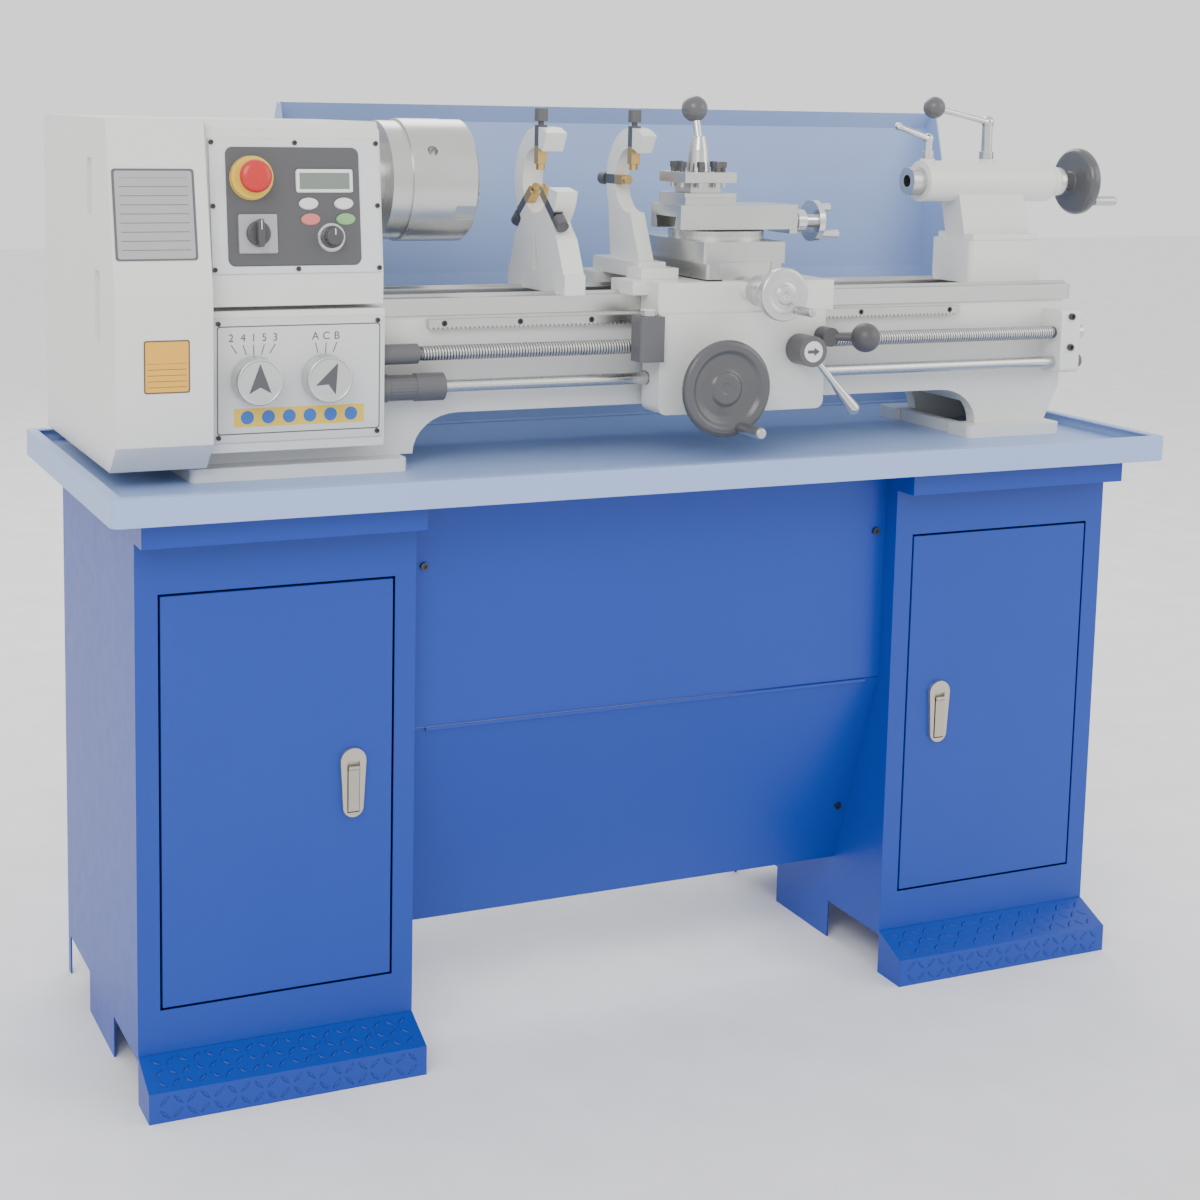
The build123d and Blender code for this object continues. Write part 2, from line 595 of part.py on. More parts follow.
ESTOP_TRAVEL = 4.0
keep("estop_button", knob(ESTOP, DIAL_STEM_R, face + 7 + ESTOP_TRAVEL + 1,
                          ((14, 5), (20, 9), (16, 3))))
pointer = panel_frame(*SELECTOR).offset(face + 2.5 + SLIDE_GAP) * Box(9, 34, 16, align=UP)
keep("selector_knob", knob(SELECTOR, KNOB_STEM_R, face + 2.5 + SLIDE_GAP, ((15, 5),)) + pointer)
keep("speed_knob", knob(SPEED, KNOB_STEM_R, face + 2 + SLIDE_GAP, ((14, 4), (12, 11))))

# ---------------------------------------------------------------- feed gearbox
gearbox = block((GEARBOX_LEFT, GEARBOX_RIGHT), (GEARBOX_FRONT, -BED_HALF), (GEARBOX_BOTTOM, GEARBOX_TOP))
gearbox = gearbox - block((GEARBOX_LEFT - 1, GEARBOX_RIGHT + 1), (-WAY_HALF - 0.2, -BED_HALF + 1),
                          (WAY_BOTTOM - 0.2, GEARBOX_TOP + 1))
DIAL_PLATE_THICK = 1.5
DIAL_PLATE_Z = (GEARBOX_BOTTOM + 12, GEARBOX_TOP - 8)
dial_plate = block((GEARBOX_LEFT + 5, GEARBOX_RIGHT - 3),
                   (GEARBOX_FRONT - DIAL_PLATE_THICK, GEARBOX_FRONT), DIAL_PLATE_Z)
for x in (FEED_DIAL_X, RANGE_DIAL_X):
    bore = bar((x, GEARBOX_FRONT - 5, DIAL_Z), (x, GEARBOX_FRONT + 26, DIAL_Z), DIAL_STEM_R + RUNNING_GAP)
    gearbox = gearbox - bore
    dial_plate = dial_plate - bore
JOURNAL_DEPTH = 30.0
for z in (LEADSCREW_Z, FEED_ROD_Z):
    gearbox = gearbox - bar((GEARBOX_RIGHT - JOURNAL_DEPTH - 2, ROD_Y, z),
                            (GEARBOX_RIGHT + 1, ROD_Y, z), JOURNAL_R + RUNNING_GAP)
keep("gearbox", gearbox, dial_plate)


def dial(x):
    """A turned dial with a rim and a shaft into the gearbox."""
    back = GEARBOX_FRONT - DIAL_PLATE_THICK - SLIDE_GAP
    drum = bar((x, back, DIAL_Z), (x, back - DIAL_HEIGHT, DIAL_Z), DIAL_R)
    drum = drum - bar((x, back - DIAL_HEIGHT + 2, DIAL_Z), (x, back - DIAL_HEIGHT - 1, DIAL_Z), DIAL_R - 4)
    return drum + bar((x, back - 1, DIAL_Z), (x, GEARBOX_FRONT + 24, DIAL_Z), DIAL_STEM_R)


keep("feed_dial", dial(FEED_DIAL_X))
keep("range_dial", dial(RANGE_DIAL_X))

# The gear cover: a five-sided shell hung on the headstock's rear edge
COVER_FRONT_TOP = -127.0
COVER_LEAN_Z = 976.0
COVER_CHAMFER = 34.0


def cover_outline(inset):
    low, top = COVER_BOTTOM + inset, HEAD_TOP - inset
    front, back = COVER_FRONT + inset, COVER_BACK - inset
    return [(front + COVER_CHAMFER, low), (back, low), (back, top), (COVER_FRONT_TOP + inset, top),
            (front, COVER_LEAN_Z), (front, low + COVER_CHAMFER)]


COVER_RIM = HEAD_LEFT - SLIDE_GAP
cover = along_x(cover_outline(0), (COVER_LEFT, COVER_RIM))
cover = cover - along_x(cover_outline(COVER_WALL), (COVER_LEFT + COVER_WALL, COVER_RIM + 1))
POCKETS = ((-37.0, 1100.0, 68.0), (-77.0, 957.0, 86.0))
for y, z, height in POCKETS:
    pocket = block((COVER_LEFT - 1, COVER_LEFT + 12), (y - 14, y + 14), (z - height / 2, z + height / 2))
    boss = block((COVER_LEFT + COVER_WALL, COVER_LEFT + 15), (y - 17, y + 17),
                 (z - height / 2 - 3, z + height / 2 + 3))
    cover = cover + boss - fillet(pocket.edges().filter_by(Axis.X), 6)
keep("gear_cover", cover)

# ---------------------------------------------------------------- spindle and drive
SPINDLE_TAIL = -690.0
NOSE_R = 48.0
spindle = bar((SPINDLE_TAIL, 0, SPINDLE_Z), (CHUCK_BACK, 0, SPINDLE_Z), SPINDLE_R)
spindle = spindle + bar((HEAD_RIGHT + 2, 0, SPINDLE_Z), (CHUCK_BACK, 0, SPINDLE_Z), NOSE_R)
spindle = spindle - bar((SPINDLE_TAIL - 1, 0, SPINDLE_Z), (CHUCK_BACK + 1, 0, SPINDLE_Z), SPINDLE_BORE_R)
keep("spindle", spindle)
chuck = bar((CHUCK_BACK, 0, SPINDLE_Z), (CHUCK_STEP + 1, 0, SPINDLE_Z), BACKPLATE_R)
chuck = chuck + bar((CHUCK_STEP, 0, SPINDLE_Z), (CHUCK_FACE, 0, SPINDLE_Z), CHUCK_R)
chuck = chamfer(chuck.edges().filter_by(GeomType.CIRCLE).sort_by(Axis.X)[-1], 3)
chuck = chuck - bar((CHUCK_BACK - 1, 0, SPINDLE_Z), (CHUCK_FACE + 1, 0, SPINDLE_Z), CHUCK_BORE_R)
JAW_ANGLES = (90.0, 210.0, 330.0)
JAW_SEAT = CHUCK_FACE - 30.0
KEY_X = CHUCK_FACE - 62.0
KEY_SOCKET_R = 7.0


def jaw_frame(angle):
    """Local X along the spindle, local Z outwards on the jaw's radius."""
    y, z = polar(1, angle)
    return Plane(origin=(0, 0, SPINDLE_Z), x_dir=(1, 0, 0), z_dir=(0, y, z))


def jaw_block(angle, x, half, out):
    size = (x[1] - x[0], 2 * half, out[1] - out[0])
    return jaw_frame(angle) * Pos((x[0] + x[1]) / 2, 0, (out[0] + out[1]) / 2) * Box(*size)


for angle in JAW_ANGLES:
    chuck = chuck - jaw_block(angle, (JAW_SEAT, CHUCK_FACE + 1), JAW_WIDTH / 2 + RUNNING_GAP,
                              (0, CHUCK_R + 2))
    y, z = polar(1, angle + 60)
    inner, outer = (CHUCK_R - 16), (CHUCK_R + 2)
    chuck = chuck - bar((KEY_X, y * inner, SPINDLE_Z + z * inner),
                        (KEY_X, y * outer, SPINDLE_Z + z * outer), KEY_SOCKET_R)
keep("chuck_body", chuck)
for number, angle in enumerate(JAW_ANGLES, 1):
    jaw = jaw_block(angle, (JAW_SEAT, CHUCK_FACE + 1), JAW_WIDTH / 2, (JAW_IN, JAW_IN + JAW_LENGTH))
    jaw = jaw + jaw_block(angle, (CHUCK_FACE, CHUCK_FACE + JAW_REACH), JAW_WIDTH / 2, (JAW_IN, JAW_IN + 18))
    jaw = jaw + jaw_block(angle, (CHUCK_FACE, CHUCK_FACE + 9), JAW_WIDTH / 2, (JAW_IN + 17, JAW_IN + 34))
    keep(f"chuck_jaw_{number}", jaw)

PULLEY_RIGHT = PULLEY_LEFT + PULLEY_WIDTH
motor = bar((MOTOR_LEFT, MOTOR_Y, MOTOR_Z), (MOTOR_RIGHT, MOTOR_Y, MOTOR_Z), MOTOR_R)
motor = chamfer(motor.edges().filter_by(GeomType.CIRCLE), 6)
motor = motor + block((MOTOR_LEFT + 30, MOTOR_RIGHT - 30), (BED_HALF, MOTOR_Y - 20),
                      (MOTOR_Z - 40, MOTOR_Z + 40))
motor = motor + block((MOTOR_LEFT + 50, MOTOR_RIGHT - 50), (MOTOR_Y - 40, MOTOR_Y + 40),
                      (MOTOR_Z + MOTOR_R - 8, MOTOR_Z + MOTOR_R + 22))
MOTOR_SHAFT_R = 9.5
motor = motor - bar((MOTOR_LEFT - 1, MOTOR_Y, MOTOR_Z), (MOTOR_LEFT + 40, MOTOR_Y, MOTOR_Z),
                    MOTOR_SHAFT_R + RUNNING_GAP)
keep("motor", motor)


def pulley(y, z, radius, bore):
    """Two flanges either side of a flat belt track."""
    flange = 3.0
    wheel = bar((PULLEY_LEFT, y, z), (PULLEY_RIGHT, y, z), radius)
    for low in (PULLEY_LEFT, PULLEY_RIGHT - flange):
        wheel = wheel + bar((low, y, z), (low + flange, y, z), radius + BELT_THICK + 2)
    if bore:
        wheel = wheel - bar((PULLEY_LEFT - 1, y, z), (PULLEY_RIGHT + 1, y, z), bore)
    return wheel


keep("spindle_pulley", pulley(0, SPINDLE_Z, SPINDLE_PULLEY_R, SPINDLE_R))
shaft = bar((PULLEY_RIGHT, MOTOR_Y, MOTOR_Z), (MOTOR_LEFT + 38, MOTOR_Y, MOTOR_Z), MOTOR_SHAFT_R)
keep("motor_pulley", pulley(MOTOR_Y, MOTOR_Z, MOTOR_PULLEY_R, 0) + shaft)


def belt_loop(grow, x):
    """The outline pulled tight round both pulleys, as two circles and a web."""
    dy, dz = MOTOR_Y, MOTOR_Z - SPINDLE_Z
    span = hypot(dy, dz)
    big, small = SPINDLE_PULLEY_R + grow, MOTOR_PULLEY_R + grow
    heading = atan2(dz, dy)
    spread = atan2((span ** 2 - (big - small) ** 2) ** 0.5, big - small)
    corners = []
    for y, z, radius, turn in ((0, SPINDLE_Z, big, 1), (MOTOR_Y, MOTOR_Z, small, 1),
                               (MOTOR_Y, MOTOR_Z, small, -1), (0, SPINDLE_Z, big, -1)):
        angle = heading + turn * spread
        corners.append((y + radius * cos(angle), z + radius * sin(angle)))
    web = along_x(corners, x)
    ends = bar((x[0], 0, SPINDLE_Z), (x[1], 0, SPINDLE_Z), big)
    return web + ends + bar((x[0], MOTOR_Y, MOTOR_Z), (x[1], MOTOR_Y, MOTOR_Z), small)


belt_x = (PULLEY_LEFT + (PULLEY_WIDTH - BELT_WIDTH) / 2, PULLEY_RIGHT - (PULLEY_WIDTH - BELT_WIDTH) / 2)
keep("drive_belt", belt_loop(SLIDE_GAP + BELT_THICK, belt_x) - belt_loop(SLIDE_GAP, belt_x))

# ---------------------------------------------------------------- feed shafts
SHAFT_LEFT = GEARBOX_RIGHT - JOURNAL_DEPTH


def feed_shaft(z, radius, sleeve_r, sleeve_end):
    """Journal, sleeve, plain length, and a journal with a cap past the bracket."""
    steps = [(SHAFT_LEFT, GEARBOX_RIGHT + 2, JOURNAL_R), (GEARBOX_RIGHT + 1, sleeve_end, sleeve_r),
             (sleeve_end - 1, BRACKET_LEFT - 1, radius), (BRACKET_LEFT - 2, BRACKET_RIGHT + 2, JOURNAL_R),
             (BRACKET_RIGHT + 1, BRACKET_RIGHT + 12, radius + 2)]
    return fuse([bar((low, ROD_Y, z), (high, ROD_Y, z), size) for low, high, size in steps])


keep("leadscrew", feed_shaft(LEADSCREW_Z, LEADSCREW_R, 13.0, -325.0))
keep("feed_rod", feed_shaft(FEED_ROD_Z, FEED_ROD_R, 18.0, -290.0))
bracket = block((BRACKET_LEFT, BRACKET_RIGHT), (BRACKET_FRONT, -BED_HALF), (BRACKET_BOTTOM, BRACKET_TOP))
bracket = fillet(bracket.edges().filter_by(Axis.X).group_by(Axis.Y)[0], 6)
for z in (LEADSCREW_Z, FEED_ROD_Z):
    bracket = bracket - bar((BRACKET_LEFT - 1, ROD_Y, z), (BRACKET_RIGHT + 1, ROD_Y, z),
                            JOURNAL_R + RUNNING_GAP)
keep("end_bracket", bracket)

# ---------------------------------------------------------------- saddle and apron
CROSS_LEFT, CROSS_RIGHT = CROSS_X - CROSS_WIDTH / 2, CROSS_X + CROSS_WIDTH / 2
WAY_SIDE_GAP = 0.4
RIDGE_FOOT = CROSS_TAIL - 7.0
saddle = block((SADDLE_LEFT, SADDLE_RIGHT), (SADDLE_FRONT + 30, -46), (BED_TOP, SADDLE_TOP))
saddle = saddle + block((SADDLE_LEFT + 20, SADDLE_RIGHT - 20), (50, SADDLE_BACK), (BED_TOP, SADDLE_TOP))
saddle = saddle + block((CROSS_LEFT - 8, CROSS_RIGHT + 8), (SADDLE_FRONT + 10, SADDLE_BACK),
                        (BED_TOP, SADDLE_TOP))
saddle = saddle + block((APRON_LEFT, SADDLE_RIGHT), (SADDLE_FRONT, -WAY_HALF - WAY_SIDE_GAP),
                        (SKIRT_BOTTOM, SADDLE_TOP))
ridge = [(CROSS_X - RIDGE_FOOT, SADDLE_TOP - 1), (CROSS_X + RIDGE_FOOT, SADDLE_TOP - 1),
         (CROSS_X + CROSS_TAIL, CROSS_SEAT), (CROSS_X - CROSS_TAIL, CROSS_SEAT)]
saddle = saddle + along_y(ridge, (SADDLE_FRONT + 12, SADDLE_BACK))
boss = bar((CROSS_X, SADDLE_FRONT + 1, CROSS_SCREW_Z), (CROSS_X, SADDLE_FRONT - 26, CROSS_SCREW_Z), 15)
saddle = saddle + boss
CROSS_SCREW_R = 4.0
saddle = saddle - bar((CROSS_X, SADDLE_FRONT - 27, CROSS_SCREW_Z), (CROSS_X, 60, CROSS_SCREW_Z),
                      CROSS_SCREW_R + RUNNING_GAP)
keep("saddle", ride_on_ways(saddle))

apron = block((APRON_LEFT, SADDLE_RIGHT - 16), (APRON_FRONT, APRON_BACK), (APRON_BOTTOM, SKIRT_BOTTOM))
apron = fillet(apron.edges().filter_by(Axis.Y).group_by(Axis.Z)[0], 12)
for z, radius in ((LEADSCREW_Z, LEADSCREW_R), (FEED_ROD_Z, FEED_ROD_R)):
    around = radius + 1.0
    apron = apron - bar((APRON_LEFT - 1, ROD_Y, z), (SADDLE_RIGHT, ROD_Y, z), around)
    apron = apron - block((APRON_LEFT - 1, SADDLE_RIGHT), (ROD_Y, APRON_BACK + 1), (z - around, z + around))
STUD_R = 7.0
STUD_DEPTH = 18.0
for x, z in ((APRON_WHEEL_X, APRON_WHEEL_Z), (HALF_NUT_X, HALF_NUT_Z), (FEED_LEVER_X, FEED_LEVER_Z)):
    apron = apron - bar((x, APRON_FRONT - 1, z), (x, APRON_FRONT + STUD_DEPTH + 2, z), STUD_R + RUNNING_GAP)
DIAL_HOUSE_TOP = 935.0
dial_house = block((THREAD_DIAL_X - 18, APRON_LEFT), (THREAD_DIAL_Y - 15, THREAD_DIAL_Y + 18),
                   (DIAL_HOUSE_TOP - 60, DIAL_HOUSE_TOP))
dial_house = fillet(dial_house.edges().filter_by(Axis.Z).group_by(Axis.X)[0], 6)
dial_house = dial_house - bar((THREAD_DIAL_X, THREAD_DIAL_Y, DIAL_HOUSE_TOP - 40),
                              (THREAD_DIAL_X, THREAD_DIAL_Y, DIAL_HOUSE_TOP + 1), 4 + RUNNING_GAP)
keep("apron", apron, dial_house)
keep("thread_dial", fuse([
    bar((THREAD_DIAL_X, THREAD_DIAL_Y, DIAL_HOUSE_TOP - 38),
        (THREAD_DIAL_X, THREAD_DIAL_Y, DIAL_HOUSE_TOP + 1), 4),
    bar((THREAD_DIAL_X, THREAD_DIAL_Y, DIAL_HOUSE_TOP + SLIDE_GAP),
        (THREAD_DIAL_X, THREAD_DIAL_Y, DIAL_HOUSE_TOP + 8), 11)]))


def crank(x, z, angle, reach, base_y, length, thin, thick):
    """A turned handle standing out of a wheel's face at an angle and reach."""
    hx, hz = x + reach * cos(radians(angle)), z + reach * sin(radians(angle))
    return bar((hx, base_y, hz), (hx, base_y - length, hz), thin, thick)


# The carriage handwheel is a dished disc on a stud
def wheel_bar(start_y, end_y, radius, end_radius=None):
    """A round bar on the carriage handwheel's axis."""
    return bar((APRON_WHEEL_X, start_y, APRON_WHEEL_Z), (APRON_WHEEL_X, end_y, APRON_WHEEL_Z),
               radius, end_radius)


rim = wheel_bar(APRON_WHEEL_Y + 8, APRON_WHEEL_Y - 8, APRON_WHEEL_R)
rim = fillet(rim.edges().filter_by(GeomType.CIRCLE), 6)
rim = rim - wheel_bar(APRON_WHEEL_Y - 2, APRON_WHEEL_Y - 9, 42, 50)
hub = wheel_bar(APRON_FRONT - SLIDE_GAP, APRON_WHEEL_Y - 5, 17)
stud = wheel_bar(APRON_FRONT + STUD_DEPTH, APRON_WHEEL_Y, STUD_R)
grip = crank(APRON_WHEEL_X, APRON_WHEEL_Z, -69, 55, APRON_WHEEL_Y - 4, 60, 6, 9)
keep("apron_handwheel", fuse([rim, hub, stud, grip]))

half_nut_pivot = (HALF_NUT_X, APRON_FRONT + STUD_DEPTH, HALF_NUT_Z)
HALF_NUT_BALL = (294.0, -190.0, 902.0)
HALF_NUT_BALL_R = 20.0
keep("half_nut_lever", fuse([
    bar(half_nut_pivot, (HALF_NUT_X, -172, HALF_NUT_Z), STUD_R),
    bar((HALF_NUT_X, APRON_FRONT - SLIDE_GAP, HALF_NUT_Z), (HALF_NUT_X, -174, HALF_NUT_Z), 13),
    bar((HALF_NUT_X, -165, HALF_NUT_Z), HALF_NUT_BALL, 5.5),
    ball(HALF_NUT_BALL, HALF_NUT_BALL_R)]))

FEED_HUB_R = 21.0
FEED_HUB_FRONT = -188.0
feed_pivot = (FEED_LEVER_X, APRON_FRONT + STUD_DEPTH, FEED_LEVER_Z)
feed_mid = (250.0, -182.0, 842.0)
feed_tip = (278.0, -190.0, 806.0)
keep("feed_lever", fuse([
    bar(feed_pivot, (FEED_LEVER_X, -172, FEED_LEVER_Z), STUD_R),
    bar((FEED_LEVER_X, APRON_FRONT - SLIDE_GAP, FEED_LEVER_Z),
        (FEED_LEVER_X, FEED_HUB_FRONT, FEED_LEVER_Z), FEED_HUB_R),
    bar((FEED_LEVER_X, -176, FEED_LEVER_Z), feed_mid, 5),
    bar(feed_mid, feed_tip, 5, 9), ball(feed_tip, 9)]))

# ---------------------------------------------------------------- cross slide
cross_front, cross_back = -CROSS_LENGTH / 2, CROSS_LENGTH / 2
cross = block((CROSS_LEFT, CROSS_RIGHT), (cross_front, cross_back), (CROSS_BOTTOM, CROSS_TOP))
groove_foot, groove_top = RIDGE_FOOT + SLIDE_GAP, CROSS_TAIL + SLIDE_GAP
cross = cross - along_y([(CROSS_X - groove_foot, SADDLE_TOP - 1), (CROSS_X + groove_foot, SADDLE_TOP - 1),
                         (CROSS_X + groove_top, CROSS_SEAT), (CROSS_X - groove_top, CROSS_SEAT)],
                        (cross_front - 1, cross_back + 1))
for x in (CROSS_LEFT - 1, CROSS_RIGHT - 5):
    cross = cross - block((x, x + 6), (cross_front - 1, cross_back + 1), (CROSS_BOTTOM - 1, CROSS_SEAT - 2))
keep("cross_slide", chamfer(cross.edges().filter_by(Axis.Z).group_by(Axis.Y)[0], 3))

cross_parts = [
    bar((CROSS_X, 58, CROSS_SCREW_Z), (CROSS_X, CROSS_WHEEL_Y, CROSS_SCREW_Z), CROSS_SCREW_R),
    bar((CROSS_X, SADDLE_FRONT - 26 - SLIDE_GAP, CROSS_SCREW_Z), (CROSS_X, -200, CROSS_SCREW_Z), 21),
    bar((CROSS_X, -199, CROSS_SCREW_Z), (CROSS_X, CROSS_WHEEL_Y - 9, CROSS_SCREW_Z), 12),
    fillet(bar((CROSS_X, CROSS_WHEEL_Y + 8, CROSS_SCREW_Z), (CROSS_X, CROSS_WHEEL_Y - 6, CROSS_SCREW_Z),
               CROSS_WHEEL_R).edges().filter_by(GeomType.CIRCLE), 3),
    crank(CROSS_X, CROSS_SCREW_Z, -48, 27, CROSS_WHEEL_Y - 5, 40, 4, 6.5)]
keep("cross_handwheel", fuse(cross_parts))

# ---------------------------------------------------------------- compound
disc = bar((CROSS_X, SWIVEL_Y, CROSS_TOP), (CROSS_X, SWIVEL_Y, SWIVEL_TOP), SWIVEL_R)
TAIL_HALF_WIDTH = 30.0
COMPOUND_LEFT, COMPOUND_RIGHT = 93.0, 188.0
RIDGE_SLOPE = 6.0


def dovetail(half):
    """The (y, z) outline of the top slide's dovetail, at a half width of its top."""
    return [(SWIVEL_Y - half + RIDGE_SLOPE, SWIVEL_TOP - 1), (SWIVEL_Y + half - RIDGE_SLOPE, SWIVEL_TOP - 1),
            (SWIVEL_Y + half, COMPOUND_SEAT), (SWIVEL_Y - half, COMPOUND_SEAT)]


TOP_SCREW_R = 4.0
compound = disc + along_x(dovetail(TAIL_HALF_WIDTH), (COMPOUND_LEFT, COMPOUND_RIGHT))
compound = compound - bar((COMPOUND_LEFT - 1, SWIVEL_Y, TOP_SCREW_Z),
                          (COMPOUND_RIGHT + 1, SWIVEL_Y, TOP_SCREW_Z), TOP_SCREW_R + 1)
keep("compound_base", compound)

slide = block((TOP_SLIDE_LEFT, TOP_SLIDE_RIGHT), (SWIVEL_Y - TOP_SLIDE_HALF, SWIVEL_Y + TOP_SLIDE_HALF),
              (SWIVEL_TOP + 2, TOP_SLIDE_TOP))
slide = slide - along_x(dovetail(TAIL_HALF_WIDTH + SLIDE_GAP), (TOP_SLIDE_LEFT - 1, TOP_SLIDE_RIGHT + 1))
PAD_HALF_SIDE = 39.0
slide = slide + block((POST_X - PAD_HALF_SIDE, POST_X + PAD_HALF_SIDE),
                      (SWIVEL_Y - PAD_HALF_SIDE, SWIVEL_Y + PAD_HALF_SIDE), (TOP_SLIDE_TOP, POST_BOTTOM))
END_PLATE = 12.0
slide = slide + block((TOP_SLIDE_RIGHT, TOP_SLIDE_RIGHT + END_PLATE),
                      (SWIVEL_Y - 30, SWIVEL_Y + 30), (TOP_SCREW_Z - 16, TOP_SLIDE_TOP))
slide = slide + bar((TOP_SLIDE_RIGHT + END_PLATE - 1, SWIVEL_Y, TOP_SCREW_Z),
                    (TOP_SLIDE_RIGHT + END_PLATE + 12, SWIVEL_Y, TOP_SCREW_Z), 13)
slide = slide - bar((TOP_SLIDE_RIGHT - 1, SWIVEL_Y, TOP_SCREW_Z), (TOP_WHEEL_X, SWIVEL_Y, TOP_SCREW_Z),
                    TOP_SCREW_R + RUNNING_GAP)
POST_STUD_R = 8.0
slide = slide - bar((POST_X, SWIVEL_Y, COMPOUND_SEAT + 2), (POST_X, SWIVEL_Y, POST_BOTTOM + 1),
                    POST_STUD_R + RUNNING_GAP)
keep("top_slide", slide)
collar_start = TOP_SLIDE_RIGHT + END_PLATE + 12 + SLIDE_GAP
top_wheel = [
    bar((COMPOUND_RIGHT - 60, SWIVEL_Y, TOP_SCREW_Z), (TOP_WHEEL_X, SWIVEL_Y, TOP_SCREW_Z), TOP_SCREW_R),
    bar((collar_start, SWIVEL_Y, TOP_SCREW_Z), (collar_start + 13, SWIVEL_Y, TOP_SCREW_Z), 16),
    bar((collar_start + 12, SWIVEL_Y, TOP_SCREW_Z), (TOP_WHEEL_X + 8, SWIVEL_Y, TOP_SCREW_Z), 9),
    bar((TOP_WHEEL_X - 4, SWIVEL_Y, TOP_SCREW_Z), (TOP_WHEEL_X + 5, SWIVEL_Y, TOP_SCREW_Z), TOP_WHEEL_R)]
for angle in (55, 235):
    dy, dz = polar(TOP_WHEEL_R - 7, angle)
    top_wheel.append(bar((TOP_WHEEL_X + 4, SWIVEL_Y + dy, TOP_SCREW_Z + dz),
                         (TOP_WHEEL_X + 34, SWIVEL_Y + dy, TOP_SCREW_Z + dz), 4, 6))
keep("top_slide_handwheel", fuse(top_wheel))

# ---------------------------------------------------------------- tool post
half = POST_SIDE / 2
core = POST_CORE / 2
JAW_PLATE = 14.0
post = block((POST_X - core, POST_X + core), (SWIVEL_Y - core, SWIVEL_Y + core), (POST_BOTTOM, POST_TOP))
for z in ((POST_BOTTOM, POST_BOTTOM + 6), (POST_TOP - JAW_PLATE, POST_TOP)):
    post = post + block((POST_X - half, POST_X + half), (SWIVEL_Y - half, SWIVEL_Y + half), z)
post = chamfer(post.edges().filter_by(Axis.Z).filter_by(
    lambda edge: abs(edge.center().X - POST_X) > half - 1), 2)
post = post - bar((POST_X, SWIVEL_Y, POST_BOTTOM - 1), (POST_X, SWIVEL_Y, POST_TOP + 1),
                  POST_STUD_R + RUNNING_GAP)
bolts = []
BOLT_R = 4.0
edge = half - 9.0
for dx, dy in ((-edge, -13), (-edge, 13), (edge, -13), (edge, 13), (-13, -edge), (13, -edge),
               (-13, edge), (13, edge)):
    x, y = POST_X + dx, SWIVEL_Y + dy
    bolts.append(bar((x, y, POST_TOP), (x, y, POST_TOP + 6), BOLT_R))
    square = Pos(x, y, POST_TOP + 10) * Box(8, 8, 8)
    bolts[-1] = bolts[-1] + square
    bolts.append(bar((x, y, POST_TOP - JAW_PLATE - 7), (x, y, POST_TOP - JAW_PLATE), BOLT_R))
keep("tool_post", post, *bolts)
POST_KNOB = (POST_X - 2.0, SWIVEL_Y + 12.0, 1205.0)
keep("tool_post_lever", fuse([
    bar((POST_X, SWIVEL_Y, COMPOUND_SEAT + 3), (POST_X, SWIVEL_Y, POST_TOP + 5), POST_STUD_R),
    bar((POST_X, SWIVEL_Y, POST_TOP + SLIDE_GAP), (POST_X, SWIVEL_Y, 1150), 16, 13),
    bar((POST_X, SWIVEL_Y, 1149), (POST_X, SWIVEL_Y, 1168), 13, 9),
    bar((POST_X, SWIVEL_Y, 1160), POST_KNOB, 5.5), ball(POST_KNOB, KNOB_BALL_R)]))

# ---------------------------------------------------------------- tailstock
tail_middle = (TAIL_LEFT + TAIL_RIGHT) / 2
base = block((TAIL_LEFT, TAIL_RIGHT), (-TAIL_HALF, TAIL_HALF), (BED_TOP, TAIL_BASE_TOP))
base = fillet(base.edges().filter_by(Axis.Z), 8)
shoe_x = (tail_middle - 35, tail_middle + 35)
shoe_z = (WAY_BOTTOM - SLOT_DEPTH + 3, WAY_BOTTOM - SLIDE_GAP)
tongue = block(shoe_x, (-RAIL_HALF + 2, RAIL_HALF - 2), (shoe_z[0], BED_TOP + 1))
shoe = block(shoe_x, (-SHOE_HALF, SHOE_HALF), shoe_z)
keep("tailstock_base", fuse([ride_on_ways(base), tongue, shoe]))
neck_x = (TAIL_LEFT + 8, TAIL_RIGHT - 5)
neck_top = SPINDLE_Z - BARREL_R + 16
neck = along_y([(neck_x[0], TAIL_BASE_TOP), (neck_x[1], TAIL_BASE_TOP),
                (neck_x[1] - TAIL_NECK_LEAN, neck_top), (neck_x[0] - TAIL_NECK_LEAN, neck_top)],
               (-TAIL_NECK_HALF, TAIL_NECK_HALF))
neck = neck + block(neck_x, (-TAIL_LEDGE_HALF, TAIL_LEDGE_HALF), (TAIL_BASE_TOP, TAIL_BASE_TOP + TAIL_LEDGE))
barrel = bar((BARREL_LEFT, 0, SPINDLE_Z), (BARREL_RIGHT, 0, SPINDLE_Z), BARREL_R)
body = neck + barrel
body = body + bar((BARREL_RIGHT - 1, 0, SPINDLE_Z), (BARREL_RIGHT + 16, 0, SPINDLE_Z), 23)
for x in (TAIL_LEVER_X, QUILL_LOCK_X):
    body = body + bar((x, 0, SPINDLE_Z + 15), (x, 0, SPINDLE_Z + BARREL_R + 3), 11)
QUILL_BORE_END = BARREL_RIGHT - 6.0
body = body - bar((BARREL_LEFT - 1, 0, SPINDLE_Z), (QUILL_BORE_END, 0, SPINDLE_Z), QUILL_R + RUNNING_GAP)
TAIL_SCREW_R = 7.0
body = body - bar((QUILL_BORE_END - 1, 0, SPINDLE_Z), (BARREL_RIGHT + 17, 0, SPINDLE_Z),
                  TAIL_SCREW_R + RUNNING_GAP)
for x in (TAIL_LEVER_X, QUILL_LOCK_X):
    body = body - bar((x, 0, SPINDLE_Z + BARREL_R - 6), (x, 0, SPINDLE_Z + BARREL_R + 5), 5 + RUNNING_GAP)
keep("tailstock_body", body)
